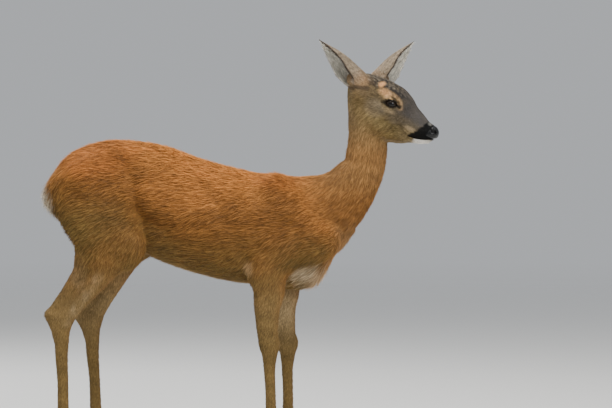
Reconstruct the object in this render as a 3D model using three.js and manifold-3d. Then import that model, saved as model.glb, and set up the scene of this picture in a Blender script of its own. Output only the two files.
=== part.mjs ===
// A roe deer doe in her short summer coat, life size, standing still with her head up and turned a
// little to her right, one ear back and one ear forward.
//
// Millimetres. +X runs from tail to breast, +Y to the deer's left, +Z up. The soles stand on z = 0 and
// the origin lies under the middle of the whole animal.
//
// Her flesh is one smooth field: chains of oval stations along the bones, blended where they meet.
// Each named piece starts as a three.js capsule bent along its own bone line. Every vertex is pushed
// out until it meets the field, and the piece is parted from its neighbours by thin planar cuts.

import * as THREE from "three";
import { mergeVertices } from "three/addons/utils/BufferGeometryUtils.js";
import Module from "manifold-3d";

const wasm = await Module();
wasm.setup();

const { Vector3 } = THREE;
const rad = THREE.MathUtils.degToRad;

// ------------------------------------------------------------------ driving sizes

const TRUNK_LENGTH = 469; // between the middle of the croup's curve and the middle of the breast's
const BARREL_HALF_WIDTH = 98;
const RUMP_HALF_WIDTH = 84;
const HEAD_PITCH = 30; // the muzzle points this far below level
const HEAD_TURN = 17; // and this far to the deer's right
const EAR_LENGTH = 136; // root to tip
const EAR_THICKNESS = 3.2;
const EYE_RADIUS = 14;

const FEMUR = 186;
const TIBIA = 220;
const HIND_CANNON = 222;
const HUMERUS = 138;
const RADIUS_BONE = 162;
const FORE_CANNON = 169;
const FETLOCK_HEIGHT = 58;

const CUT = 0.35; // width of the thin cuts between pieces
const MARGIN = 24; // how far a wrapped piece reaches past its cut before it is trimmed

const SIDES = { right: -1, left: 1 };

// ------------------------------------------------------------------ the field

const at = (x, y, z) => new Vector3(x, y, z);
const sideways = at(0, 1, 0);

// A station is an oval slice: its centre, its half size in the bone's own upright plane, and its half
// size sideways. `blend` is the radius of the fillet where the chain meets other flesh.
function chain(stations, { blend = 14, across = sideways, steps = 4 } = {}) {
  const centres = new THREE.CatmullRomCurve3(stations.map((s) => s[0]), false, "centripetal");
  const sizes = new THREE.CatmullRomCurve3(stations.map((s) => at(s[1], s[2], 0)));
  const count = (stations.length - 1) * steps;
  const slices = [];
  for (let i = 0; i <= count; i++) {
    const size = sizes.getPoint(i / count);
    slices.push({ p: centres.getPoint(i / count), deep: size.x, wide: size.y });
  }
  const reach = Math.max(...slices.map((s) => Math.max(s.deep, s.wide)));
  const box = new THREE.Box3().setFromPoints(slices.map((s) => s.p)).expandByScalar(reach + blend);
  return { slices, blend, across, box };
}

function chainValue({ slices, across }, q) {
  let best = Infinity;
  for (let i = 0; i + 1 < slices.length; i++) {
    const a = slices[i];
    const b = slices[i + 1];
    const ex = b.p.x - a.p.x;
    const ey = b.p.y - a.p.y;
    const ez = b.p.z - a.p.z;
    const along = (q.x - a.p.x) * ex + (q.y - a.p.y) * ey + (q.z - a.p.z) * ez;
    const t = Math.min(1, Math.max(0, along / (ex * ex + ey * ey + ez * ez)));
    const ox = q.x - a.p.x - t * ex;
    const oy = q.y - a.p.y - t * ey;
    const oz = q.z - a.p.z - t * ez;
    const deep = a.deep + t * (b.deep - a.deep);
    const wide = a.wide + t * (b.wide - a.wide);
    const side = ox * across.x + oy * across.y + oz * across.z;
    const rest = Math.max(0, ox * ox + oy * oy + oz * oz - side * side);
    const share = Math.sqrt((side * side) / (wide * wide) + rest / (deep * deep));
    best = Math.min(best, (share - 1) * Math.min(deep, wide));
  }
  return best;
}

function smoothMin(a, b, k) {
  const h = Math.max(k - Math.abs(a - b), 0) / k;
  return Math.min(a, b) - h * h * k * 0.25;
}

const flesh = []; // every chain of the body
const add = (stations, options) => flesh.push(chain(stations, options));

function bodyValue(q) {
  let value = 60;
  for (const c of flesh) {
    if (c.box.containsPoint(q)) value = smoothMin(value, chainValue(c, q), c.blend);
  }
  return value;
}

// ------------------------------------------------------------------ skeleton

// The end of a bone that starts at `from`: pitch 0 hangs straight down, positive swings forward, and
// `out` moves it away from the mid plane.
function bone(from, length, pitch, out = 0) {
  const side = Math.sign(from.y);
  const fall = Math.sqrt(length * length - out * out);
  const end = at(Math.sin(rad(pitch)) * fall, side * out, -Math.cos(rad(pitch)) * fall);
  return from.clone().add(end);
}

// A point part of the way down a bone, moved forward and outward from it.
function beside(a, b, share, forward = 0, out = 0) {
  const p = a.clone().lerp(b, share);
  const line = b.clone().sub(a).normalize();
  p.x += -line.z * forward;
  p.z += line.x * forward;
  p.y += Math.sign(a.y) * out;
  return p;
}

// The right hind foot stands back, the left one a step forward, and so do the fore feet.
const HIND_POSE = {
  right: { femur: 31, tibia: -44.5, cannon: 0.5 },
  left: { femur: 43, tibia: -34.5, cannon: 2.2 },
};
const FORE_POSE = {
  right: { shoulder: at(172, -52, 458), humerus: -62, radius: 4.5, cannon: 1.4 },
  left: { shoulder: at(190, 52, 468), humerus: -54, radius: 8.6, cannon: 0.3 },
};

function hindBones(name) {
  const side = SIDES[name];
  const pose = HIND_POSE[name];
  const hip = at(-332, side * 50, 596);
  const stifle = bone(hip, FEMUR, pose.femur, 15);
  const hock = bone(stifle, TIBIA, pose.tibia, -9);
  const fetlock = bone(hock, HIND_CANNON, pose.cannon, -4);
  fetlock.z = FETLOCK_HEIGHT;
  return { side, hip, stifle, hock, fetlock };
}

function foreBones(name) {
  const side = SIDES[name];
  const pose = FORE_POSE[name];
  const blade = at(76, side * 38, 562);
  const shoulder = pose.shoulder;
  const elbow = bone(shoulder, HUMERUS, pose.humerus, 8);
  const knee = bone(elbow, RADIUS_BONE, pose.radius, -8);
  const fetlock = bone(knee, FORE_CANNON, pose.cannon, -2);
  fetlock.z = FETLOCK_HEIGHT;
  return { side, blade, shoulder, elbow, knee, fetlock };
}

const hind = { right: hindBones("right"), left: hindBones("left") };
const fore = { right: foreBones("right"), left: foreBones("left") };

// ------------------------------------------------------------------ trunk and neck

// Along the trunk from croup to breast: share of its length, height of the back, height of the
// belly line under it, and half width.
const CROUP_X = -352;
const TRUNK = [
  [0.0, 642, 502, RUMP_HALF_WIDTH * 0.76],
  [0.063, 667, 488, RUMP_HALF_WIDTH * 0.9],
  [0.157, 680, 468, RUMP_HALF_WIDTH],
  [0.319, 673, 440, RUMP_HALF_WIDTH],
  [0.457, 650, 404, BARREL_HALF_WIDTH * 0.95],
  [0.612, 628, 379, BARREL_HALF_WIDTH],
  [0.78, 611, 361, BARREL_HALF_WIDTH * 0.88],
  [0.914, 606, 357, BARREL_HALF_WIDTH * 0.78],
  [1.0, 599, 377, BARREL_HALF_WIDTH * 0.64],
];
add(
  TRUNK.map(([share, back, belly, half]) => [
    at(CROUP_X + share * TRUNK_LENGTH, 0, (back + belly) / 2),
    (back - belly) / 2,
    half,
  ]),
  { blend: 22 },
);

// The neck, from deep in the breast up to the back of the skull.
const NECK = [
  [at(187, 0, 520), 77, 58],
  [at(220, 0, 548), 67, 51],
  [at(247, 0, 580), 58, 45],
  [at(270, 0, 616), 48.5, 40],
  [at(277, 0, 656), 46.5, 38],
  [at(280, 0, 700), 44, 37],
  [at(286, 0, 738), 40, 37],
];
add(NECK, { blend: 30 });

// The low keel of the breastbone between the fore legs.
add([[at(60, 0, 394), 34, 38], [at(145, 0, 386), 32, 34], [at(166, 0, 422), 30, 36]], { blend: 22 });

// ------------------------------------------------------------------ limbs

for (const { side, hip, stifle, hock, fetlock } of Object.values(hind)) {
  const heel = beside(stifle, hock, 1.03, -29);
  // Thigh, from the hip bone down to the stifle.
  add(
    [
      [hip.clone().add(at(0, 0, -14)), 60, 40],
      [beside(hip, stifle, 0.5, -12, 5), 72, 34],
      [beside(hip, stifle, 0.95, -14, 2), 48, 29],
    ],
    { blend: 20 },
  );
  // Ham, from the seat bone down behind the thigh.
  add(
    [
      [at(-378, side * 40, 562), 54, 33],
      [at(-357, side * 50, 526), 49, 34],
      [at(-322, side * 63, 474), 50, 30],
      [at(-319, side * 64, 430), 46, 26],
    ],
    { blend: 16 },
  );
  // Gaskin, narrowing to the hock.
  add(
    [
      [beside(stifle, hock, -0.02, -24), 42, 32],
      [beside(stifle, hock, 0.26, -20), 38, 29],
      [beside(stifle, hock, 0.46, -13), 30, 23],
      [beside(stifle, hock, 0.62, -7), 23, 18.5],
      [beside(stifle, hock, 0.82, -3), 19.5, 16],
      [beside(stifle, hock, 1.0, -1), 20.5, 17],
    ],
    { blend: 12 },
  );
  // Heel cord down to the point of the hock.
  add(
    [
      [beside(stifle, hock, 0.4, -55), 23, 14],
      [beside(stifle, hock, 0.6, -47), 17, 11],
      [beside(stifle, hock, 0.8, -38), 15, 9],
      [heel, 13, 10],
    ],
    { blend: 14 },
  );
  // Hock and cannon.
  add(
    [
      [hock.clone(), 21, 17],
      [beside(hock, fetlock, 0.14, -1), 17, 14.5],
      [beside(hock, fetlock, 0.32, -2), 14.5, 12],
      [beside(hock, fetlock, 0.6), 12.5, 11],
      [beside(hock, fetlock, 0.86), 13, 11.5],
      [fetlock.clone(), 16, 15],
    ],
    { blend: 10 },
  );
  add([[heel, 10, 9.5], [beside(hock, fetlock, 0.15, -9), 8.5, 8.5]], { blend: 12 });
}

for (const { blade, shoulder, elbow, knee, fetlock } of Object.values(fore)) {
  // Shoulder blade with its muscle, then the upper arm.
  add([[blade, 34, 26], [blade.clone().lerp(shoulder, 0.5), 46, 33], [shoulder, 40, 31]], { blend: 24 });
  add([[shoulder, 42, 31], [beside(shoulder, elbow, 0.55, -14, 3), 52, 29], [elbow, 36, 26]], { blend: 18 });
  // Point of the elbow.
  const elbowTop = elbow.clone().add(at(-14, 0, 26));
  const elbowPoint = elbow.clone().add(at(-22, 0, 8));
  add([[elbowTop, 17, 12], [elbowPoint, 13, 11]], { blend: 14 });
  // Forearm down to the knee.
  add(
    [
      [beside(elbow, knee, 0.02, 8), 42, 27],
      [beside(elbow, knee, 0.27, 9), 38, 24],
      [beside(elbow, knee, 0.48, 2), 31, 22],
      [beside(elbow, knee, 0.7, -1), 26, 19],
      [beside(elbow, knee, 0.86, -2), 23.5, 18],
      [knee.clone(), 21, 18],
    ],
    { blend: 12 },
  );
  // Knee and cannon.
  add(
    [
      [knee.clone(), 20.5, 18],
      [beside(knee, fetlock, 0.14, 0), 17, 15.5],
      [beside(knee, fetlock, 0.32, -1), 13, 12],
      [beside(knee, fetlock, 0.6), 11.8, 11],
      [beside(knee, fetlock, 0.86), 12.5, 11.5],
      [fetlock.clone(), 15.5, 15],
    ],
    { blend: 10 },
  );
}

// Below each fetlock the pastern slopes forward into the hoof.
const PASTERN_REACH = 25; // how far the foot's middle stands in front of the fetlock
const CORONET_HEIGHT = 26;
for (const leg of [...Object.values(hind), ...Object.values(fore)]) {
  leg.foot = at(leg.fetlock.x + PASTERN_REACH, leg.fetlock.y, 0);
  const coronet = at(leg.foot.x - 4, leg.foot.y, CORONET_HEIGHT);
  const pastern = leg.fetlock.clone().lerp(coronet, 0.55);
  add([[leg.fetlock, 15.5, 15], [pastern, 13.5, 14.5], [coronet, 17, 16.5]], { blend: 8 });
  // The pad behind the fetlock that carries the dewclaws.
  const padTop = leg.fetlock.clone().add(at(-11, 0, -6));
  const padEnd = leg.fetlock.clone().add(at(-5, 0, -18));
  add([[padTop, 8, 12], [padEnd, 7, 11]], { blend: 8 });
}

// ------------------------------------------------------------------ head

// Head axes: u forward along the muzzle, v up from it, w to the deer's left. They start at the nape.
const NAPE = at(244, 0, 755);
const TURN_ABOUT = at(262, 0, 755);
const turned = (p) => p.sub(TURN_ABOUT).applyAxisAngle(at(0, 0, 1), rad(-HEAD_TURN)).add(TURN_ABOUT);
const pitched = (u, v, w) => {
  const c = Math.cos(rad(HEAD_PITCH));
  const s = Math.sin(rad(HEAD_PITCH));
  return at(u * c + v * s, w, -u * s + v * c);
};
const onHead = (u, v, w = 0) => turned(pitched(u, v, w).add(NAPE));
const headWay = (u, v, w) => pitched(u, v, w).applyAxisAngle(at(0, 0, 1), rad(-HEAD_TURN));
const headAcross = headWay(0, 0, 1);
const headChain = (stations, blend) =>
  add(
    stations.map(([u, v, w, deep, wide]) => [onHead(u, v, w), deep, wide]),
    { blend, across: headAcross },
  );

// Skull, muzzle and lower jaw on the mid line: u, v, w, half size upright, half size sideways.
headChain([[14, 42, 0, 38, 37], [44, 46, 0, 42, 41], [72, 52, 0, 37, 39], [96, 52, 0, 29, 33]], 16);
const MUZZLE = [
  [88, 46, 0, 38, 34],
  [112, 39, 0, 36, 28],
  [140, 34, 0, 32, 22.5],
  [166, 33, 0, 24, 19],
  [187, 38, 0, 17, 17.5],
];
headChain(MUZZLE, 14);
headChain([[44, 2, 0, 27, 27], [76, -7, 0, 23, 25], [110, -11, 0, 17, 19.5], [132, -4, 0, 13, 16]], 16);
headChain([[126, -6, 0, 13, 16], [152, 4, 0, 10, 14.5], [172, 12, 0, 9, 13], [186, 19, 0, 7.5, 11]], 8);
// Nape and throat run into the neck.
headChain([[9, 36, 0, 26, 30], [20, 8, 0, 28, 29], [36, -12, 0, 27, 27]], 26);

const EYE = [85, 52, 34];
for (const w of Object.values(SIDES)) {
  const out = (value) => w * value;
  // Cheek muscle, brow shelf and cheek bone.
  headChain([[40, 14, out(20), 28, 16], [70, 12, out(22), 26, 15]], 18);
  headChain([[60, 70, out(30), 12, 10], [82, 72, out(31), 11, 10], [100, 62, out(27), 8, 7]], 14);
  headChain([[104, 38, out(29), 9, 7], [84, 32, out(34), 9, 7.5], [54, 34, out(37), 10, 7]], 16);
  // The lids round the eye, then the upper lip.
  const orbitBack = [EYE[0] - 3, EYE[1], out(EYE[2] - 1), 15.6, 15.6];
  const orbitFront = [EYE[0] + 4, EYE[1] - 1, out(EYE[2] - 2), 15, 15];
  headChain([orbitBack, orbitFront], 9);
  headChain([[136, 27, out(15), 10, 8], [164, 28, out(14), 11, 7], [186, 33, out(10), 9, 7]], 10);
}

// Each ear's root on the head, the way its tip points and the way its hollow faces, in world axes.
const EARS = {
  right: { root: onHead(8, 57, -34), way: at(-0.69, -0.15, 0.7), open: at(-0.72, -0.62, -0.35) },
  left: { root: onHead(12, 56, 34), way: at(0.64, 0.31, 0.69), open: at(0.74, -0.5, -0.4) },
};
for (const { root, way, open } of Object.values(EARS)) {
  const sunk = root.clone().addScaledVector(way, -10).addScaledVector(open, 4);
  const raised = root.clone().addScaledVector(way, 17).addScaledVector(open, 5);
  add([[sunk, 26, 24], [raised, 20, 20]], { blend: 16 });
}

// ------------------------------------------------------------------ wrapping and cutting

// A three.js geometry's faces and places, with shared vertices merged.
function bare(geometry) {
  geometry.deleteAttribute("normal");
  geometry.deleteAttribute("uv");
  return mergeVertices(geometry, 1e-4);
}

function solid(geometry) {
  const closed = geometry.getAttribute("normal") ? bare(geometry) : geometry;
  const mesh = new wasm.Mesh({
    numProp: 3,
    vertProperties: new Float32Array(closed.getAttribute("position").array),
    triVerts: new Uint32Array(closed.index.array),
  });
  return new wasm.Manifold(mesh);
}

// Walks out from `from` along `way` until the field rises to `level`.
function meet(value, from, way, level) {
  const q = from.clone();
  let inside = 0;
  let step = 0;
  let far = 0;
  for (let i = 0; i < 400; i++) {
    q.copy(way).multiplyScalar(far).add(from);
    const v = value(q) - level;
    if (v > 0) break;
    inside = far;
    step = Math.max(0.8, -v * 0.45);
    far += step;
  }
  let outside = far;
  for (let i = 0; i < 14; i++) {
    const middle = (inside + outside) / 2;
    q.copy(way).multiplyScalar(middle).add(from);
    if (value(q) > level) outside = middle;
    else inside = middle;
  }
  return q.copy(way).multiplyScalar(inside).add(from);
}

// Bends a capsule along `line` and pushes its vertices out to the field, held inside `limit`.
function wrap(line, { around, along, cap, across = sideways, limit = () => -1e3, level = 0 }) {
  const curve = new THREE.CatmullRomCurve3(line);
  const shell = bare(new THREE.CapsuleGeometry(1, 2, cap, around, along));
  const places = shell.getAttribute("position");
  const value = (q) => Math.max(bodyValue(q), limit(q));
  for (let i = 0; i < places.count; i++) {
    const [x, y, z] = [places.getX(i), places.getY(i), places.getZ(i)];
    const share = Math.min(1, Math.max(0, (y + 1) / 2));
    const tangent = curve.getTangentAt(share);
    const left = across.clone().addScaledVector(tangent, -across.dot(tangent)).normalize();
    const normal = left.clone().cross(tangent);
    const way = left.multiplyScalar(x).addScaledVector(normal, z);
    way.addScaledVector(tangent, y - Math.min(1, Math.max(-1, y))).normalize();
    const p = meet(value, curve.getPointAt(share), way, level);
    places.setXYZ(i, p.x, p.y, p.z);
  }
  return solid(shell);
}

// A region is a list of planes, each a point on it and its way out.
const plane = (point, out) => ({ point, out: out.clone().normalize() });
const flip = ({ point, out }) => plane(point, out.clone().negate());
const height = ({ point, out }, q) => out.dot(q) - out.dot(point);
const outsideOf = (region) => (q) => Math.max(...region.map((p) => height(p, q)));
const within = (region, margin = MARGIN) => (q) => outsideOf(region)(q) - margin;
const clearOf = (regions) => (q) => Math.max(...regions.map((r) => -outsideOf(r)(q) - MARGIN));

function trim(body, region, room = -CUT / 2) {
  return region.reduce(
    (kept, p) => kept.trimByPlane(p.out.clone().negate().toArray(), -(p.out.dot(p.point) + room)),
    body,
  );
}
const block = (region) => trim(solid(new THREE.BoxGeometry(3000, 3000, 3000)), region, CUT / 2);

// Cuts can leave crumbs where a surface grazes a plane; the piece itself is the largest body.
function largest(body) {
  return body.decompose().sort((a, b) => b.volume() - a.volume())[0];
}

// ------------------------------------------------------------------ regions of the pieces

const tilted = (degrees, side) => at(0, -side * Math.sin(rad(degrees)), Math.cos(rad(degrees)));

const hindCuts = (leg) => ({
  hip: plane(at(0, leg.side * 12, 404), tilted(67, leg.side)),
  flank: plane(at(leg.stifle.x + 62, leg.side * 92, 440), at(0.75, leg.side * -0.35, 0.55)),
  stifle: plane(at(leg.stifle.x, 0, leg.stifle.z - 24), at(-0.3, 0, -1)),
  hock: plane(at(leg.hock.x, 0, leg.hock.z - 28), at(0.1, 0, -1)),
});
const foreCuts = (leg) => ({
  breast: plane(at(0, leg.side * 36, 353), tilted(65, leg.side)),
  front: plane(at(leg.elbow.x + 58, leg.side * 80, 400), at(1, leg.side * -0.35, 0.5)),
  back: plane(at(leg.elbow.x - 46, leg.side * 80, 400), at(-1, leg.side * -0.35, 0.5)),
  knee: plane(at(0, 0, leg.knee.z - 22), at(0, 0, -1)),
});
// The coronet slopes down from the front of the foot to the heel.
const coronetCut = (leg) => plane(at(leg.foot.x, 0, 23), at(0.3, 0, -1));

const neckBase = plane(at(192, 0, 600), at(0.62, 0, 0.78));
const headBase = plane(onHead(-14, 20), headWay(-0.4, -0.92, 0));

// ------------------------------------------------------------------ colours

const finish = (colour, roughness, metalness = 0) =>
  new THREE.MeshStandardMaterial({ color: colour, roughness, metalness });
const RED_COAT = finish(0x9a5a2c, 0.8);
const NECK_COAT = finish(0x9c6236, 0.8);
const FACE_COAT = finish(0x8a7358, 0.8);
const LEG_COAT = finish(0x7d5632, 0.8);
const EAR_COAT = finish(0x857361, 0.82);
const RUMP_WHITE = finish(0xe6dcc4, 0.85);
const EYE_DARK = finish(0x0c0908, 0.08);
const NOSE_BLACK = finish(0x121113, 0.35);
const HORN_BLACK = finish(0x201c1a, 0.45);

const deer = new THREE.Group();
deer.name = "roe_deer";

function place(name, body, material) {
  const { numProp, numVert, vertProperties, triVerts } = largest(body).getMesh();
  const places = new Float32Array(numVert * 3);
  for (let i = 0; i < numVert; i++) {
    places.set(vertProperties.subarray(i * numProp, i * numProp + 3), i * 3);
  }
  const geometry = new THREE.BufferGeometry();
  geometry.setAttribute("position", new THREE.BufferAttribute(places, 3));
  geometry.setIndex(new THREE.BufferAttribute(triVerts, 1));
  geometry.computeVertexNormals();
  const mesh = new THREE.Mesh(geometry, material);
  mesh.name = name;
  deer.add(mesh);
}

// ------------------------------------------------------------------ legs

// One cloven toe: an outline that narrows to the tip, drawn in as it rises to the coronet.
const TOE_LENGTH = 46;
const TOE_HALF_WIDTH = 8.6;
const TOE_RISE = 42; // before the coronet's cut
function toe(leg, inward) {
  const shell = bare(new THREE.CylinderGeometry(1, 1, 1, 10, 2));
  const places = shell.getAttribute("position");
  const middle = leg.foot.y + inward * (TOE_HALF_WIDTH + 0.9);
  for (let i = 0; i < places.count; i++) {
    const rise = places.getY(i) + 0.5;
    const forward = places.getZ(i);
    const aside = places.getX(i);
    const half = (TOE_LENGTH / 2) * (1 - 0.24 * rise);
    const taper = 1 - 0.42 * Math.max(0, forward) ** 1.5 - 0.1 * rise;
    const x = leg.foot.x + forward * half - 9 * rise;
    // The inner walls of a pair run straight, the outer walls are rounded.
    const y = middle + aside * TOE_HALF_WIDTH * taper - inward * TOE_HALF_WIDTH * (1 - taper) * 0.75;
    places.setXYZ(i, x, y, rise * TOE_RISE);
  }
  return trim(solid(shell), [flip(coronetCut(leg))]);
}

function dewclaw(leg, inward, room = 0) {
  const ball = new THREE.SphereGeometry(1, 6, 4);
  ball.scale(7 + room, 5.5 + room, 10 + room);
  ball.rotateY(rad(28));
  ball.translate(leg.fetlock.x - 17, leg.fetlock.y + inward * 8.5, leg.fetlock.z - 9);
  return solid(ball);
}

// A cannon with its fetlock and pastern, its toes and dewclaws.
function foot(name, leg, top, upper) {
  const below = [flip(top), coronetCut(leg)];
  const line = [upper, upper.clone().lerp(leg.fetlock, 0.5), leg.fetlock, at(leg.foot.x - 6, leg.foot.y, 24)];
  let cannon = wrap(line, { around: 10, along: 8, cap: 3, limit: within(below) });
  cannon = trim(cannon, below);
  for (const [where, inward] of [["inner", -leg.side], ["outer", leg.side]]) {
    cannon = cannon.subtract(dewclaw(leg, inward, CUT));
    place(`${name}_toe_${where}`, toe(leg, inward), HORN_BLACK);
    place(`${name}_dewclaw_${where}`, dewclaw(leg, inward), HORN_BLACK);
  }
  place(`${name}_cannon`, cannon, LEG_COAT);
}

const legRegions = [];
for (const [name, leg] of Object.entries(hind)) {
  const cuts = hindCuts(leg);
  const thigh = [cuts.hip, cuts.flank, cuts.stifle];
  const shank = [cuts.hip, cuts.flank, flip(cuts.stifle), cuts.hock];
  legRegions.push([cuts.hip, cuts.flank]);
  const thighLine = [at(-352, leg.side * 68, 508), at(-300, leg.side * 70, 482), leg.stifle];
  const thighBody = wrap(thighLine, { around: 18, along: 5, cap: 4, limit: within(thigh) });
  place(`hind_${name}_thigh`, trim(thighBody, thigh), RED_COAT);
  const shankShares = [0.06, 0.4, 0.75, 1.02];
  const shankLine = shankShares.map((share) => beside(leg.stifle, leg.hock, share, -30 + 25 * share));
  // The wrap stays behind this plane along the front of the bone, so it never reaches the belly.
  const forwardOfBone = beside(leg.stifle, leg.hock, 0, 1).sub(leg.stifle);
  const shankFront = plane(beside(leg.stifle, leg.hock, 0.3, -2), forwardOfBone);
  const shankLimit = within([...shank, shankFront], MARGIN + 10);
  const shankBody = wrap(shankLine, { around: 14, along: 8, cap: 4, limit: shankLimit });
  place(`hind_${name}_shank`, trim(shankBody, shank), LEG_COAT);
  foot(`hind_${name}`, leg, cuts.hock, beside(leg.hock, leg.fetlock, 0.08, -4));
}
for (const [name, leg] of Object.entries(fore)) {
  const cuts = foreCuts(leg);
  const arm = [cuts.breast, cuts.front, cuts.back, cuts.knee];
  legRegions.push([cuts.breast, cuts.front, cuts.back]);
  const line = [leg.elbow.clone().add(at(6, 0, 14)), beside(leg.elbow, leg.knee, 0.5), leg.knee];
  const body = wrap(line, { around: 14, along: 7, cap: 4, limit: within(arm) });
  place(`fore_${name}_forearm`, trim(body, arm), LEG_COAT);
  foot(`fore_${name}`, leg, cuts.knee, beside(leg.knee, leg.fetlock, 0.06));
}

// ------------------------------------------------------------------ trunk, tail and neck

const trunkLimit = clearOf(legRegions);
const trunkLine = [at(-350, 0, 580), at(-240, 0, 580), at(-60, 0, 505), at(60, 0, 490), at(140, 0, 492)];
let trunk = wrap(trunkLine, {
  around: 28,
  along: 16,
  cap: 5,
  limit: (q) => Math.max(trunkLimit(q), height(neckBase, q) - MARGIN),
});
for (const region of legRegions) trunk = trunk.subtract(block(region));
place("trunk", trim(trunk, [neckBase]), RED_COAT);

const TAIL_LENGTH = 26;
const TAIL_RADIUS = 8;
const tailRoot = at(-420, 0, 590);
const tail = bare(new THREE.CapsuleGeometry(TAIL_RADIUS, TAIL_LENGTH - 2 * TAIL_RADIUS, 2, 8, 1));
tail.rotateX(rad(90)).rotateY(rad(14)).translate(tailRoot.x, 0, tailRoot.z - TAIL_LENGTH / 2);
place("tail", solid(tail).subtract(trunk).subtract(trunk.translate(-CUT, 0, 0)), RUMP_WHITE);

const neckRegion = [flip(neckBase), flip(headBase)];
const neckLine = [at(214, 0, 556), at(254, 0, 604), at(270, 0, 660), at(282, 0, 735)];
const neck = wrap(neckLine, { around: 18, along: 8, cap: 2, limit: within(neckRegion) });
place("neck", trim(neck, neckRegion), NECK_COAT);

// ------------------------------------------------------------------ head, eyes, nose and ears

const skullLine = [onHead(40, 34), onHead(90, 34), onHead(140, 30), onHead(180, 36)];
const skullShape = { around: 24, along: 15, cap: 5, across: headAcross, limit: within([headBase], MARGIN / 2) };
let head = trim(wrap(skullLine, skullShape), [headBase]);
const grownHead = wrap(skullLine, { ...skullShape, level: CUT });

// The eyeball sits in its socket and shows between the lids through an almond slit.
const SLIT = { length: 27.4, upper: 6.4, lower: 5, slope: -12 };
function slit(w) {
  const half = SLIT.length / 2;
  const almond = new THREE.Shape()
    .moveTo(-half, 0)
    .bezierCurveTo(-half * 0.5, SLIT.upper * 1.3, half * 0.5, SLIT.upper * 1.3, half, 0)
    .bezierCurveTo(half * 0.5, -SLIT.lower * 1.3, -half * 0.5, -SLIT.lower * 1.3, -half, 0);
  const cut = { depth: 30, bevelEnabled: false, curveSegments: 5 };
  const prism = new THREE.ExtrudeGeometry(almond, cut);
  // Its own x runs forward along the face and its z runs outward.
  const z = headWay(0.26, 0.12, w).normalize();
  const y = headWay(Math.sin(rad(SLIT.slope)), 1, 0);
  const x = y.clone().cross(z).normalize();
  prism.applyMatrix4(new THREE.Matrix4().makeBasis(x, z.clone().cross(x), z));
  const centre = onHead(EYE[0], EYE[1], w * EYE[2]);
  return solid(prism.translate(centre.x, centre.y, centre.z));
}
for (const [name, w] of Object.entries(SIDES)) {
  const centre = onHead(EYE[0], EYE[1], w * EYE[2]);
  const ball = (r) => solid(new THREE.SphereGeometry(r, 11, 7).translate(centre.x, centre.y, centre.z));
  head = head.subtract(ball(EYE_RADIUS + CUT)).subtract(slit(w));
  place(`eye_${name}`, ball(EYE_RADIUS), EYE_DARK);
}

// The mouth is shut: a thin line from each corner to the front.
const MOUTH = [[150, 9], [168, 12.4], [182, 19], [206, 33]];
const MOUTH_HEIGHT = 1.3;
const lipLine = (line, rise) => line.map(([u, v]) => new THREE.Vector2(u, v + rise));
const upperLip = lipLine(MOUTH, MOUTH_HEIGHT / 2);
const lowerLip = lipLine(MOUTH.toReversed(), -MOUTH_HEIGHT / 2);
const lips = new THREE.Shape([...upperLip, ...lowerLip]);
const mouth = new THREE.ExtrudeGeometry(lips, { depth: 80, bevelEnabled: false }).translate(0, 0, -40);
const headFrame = new THREE.Matrix4().makeBasis(headWay(1, 0, 0), headWay(0, 1, 0), headWay(0, 0, -1));
mouth.applyMatrix4(headFrame.setPosition(onHead(0, 0)));
head = head.subtract(solid(mouth));

// The naked nose is the front of the muzzle, with a nostril on each side.
const noseRegion = [
  plane(onHead(184, 50), headWay(-1, 0.1, 0)),
  plane(onHead(190, 29), headWay(0.12, -1, 0)),
];
let nose = trim(head, noseRegion);
for (const w of Object.values(SIDES)) {
  const nostril = new THREE.SphereGeometry(1, 8, 5).scale(6.5, 3.4, 3.6).rotateY(rad(24));
  const middle = onHead(191, 44, w * 15.5);
  nose = nose.subtract(solid(nostril.translate(middle.x, middle.y, middle.z)));
}
place("nose", nose, NOSE_BLACK);
place("head", head.subtract(block(noseRegion)), FACE_COAT);

// An ear is a leaf rolled about its own length: almost a tube at the root, opening towards the tip.
// Down its length: share, radius of the roll, half angle of the roll, and how far the back bows out.
const EAR_ROLL = [
  [0.05, 19, 160, 5],
  [0.12, 22.5, 148, 6],
  [0.22, 24.8, 130, 5],
  [0.4, 25.6, 116, 3],
  [0.55, 22.4, 104, 3],
  [0.7, 17.1, 96, 2],
  [0.87, 9.1, 83, 0],
  [1.0, 1.6, 70, 0],
];
const earCurve = new THREE.CatmullRomCurve3(EAR_ROLL.map(([, radius, half, bow]) => at(radius, half, bow)));
const earShare = new THREE.CatmullRomCurve3(EAR_ROLL.map(([share]) => at(share, 0, 0)));

function ear({ root, way, open }) {
  const z = way.clone().normalize();
  const y = open.clone().addScaledVector(z, -open.dot(z)).normalize();
  const x = y.clone().cross(z);
  const leaf = bare(new THREE.BoxGeometry(2, 1, 1, 8, 8, 1));
  const places = leaf.getAttribute("position");
  for (let i = 0; i < places.count; i++) {
    const run = places.getY(i) + 0.5;
    const { x: radius, y: half, z: bow } = earCurve.getPoint(run);
    const angle = -places.getX(i) * rad(half);
    const inner = places.getZ(i) > 0 ? EAR_THICKNESS : 0;
    const thin = Math.max(0.6, radius - inner * Math.min(1, radius / 10));
    const p = root.clone().addScaledVector(z, earShare.getPoint(run).x * EAR_LENGTH);
    p.addScaledVector(x, Math.sin(angle) * thin);
    p.addScaledVector(y, radius * 0.45 - bow - Math.cos(angle) * thin);
    places.setXYZ(i, p.x, p.y, p.z);
  }
  return solid(leaf);
}
for (const [name, spec] of Object.entries(EARS)) {
  place(`ear_${name}`, ear(spec).subtract(grownHead), EAR_COAT);
}

// ------------------------------------------------------------------ stand her on the origin

const bounds = new THREE.Box3().setFromObject(deer);
const middle = bounds.getCenter(new Vector3());
deer.position.set(-middle.x, -middle.y, -bounds.min.z);

export default deer;
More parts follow.
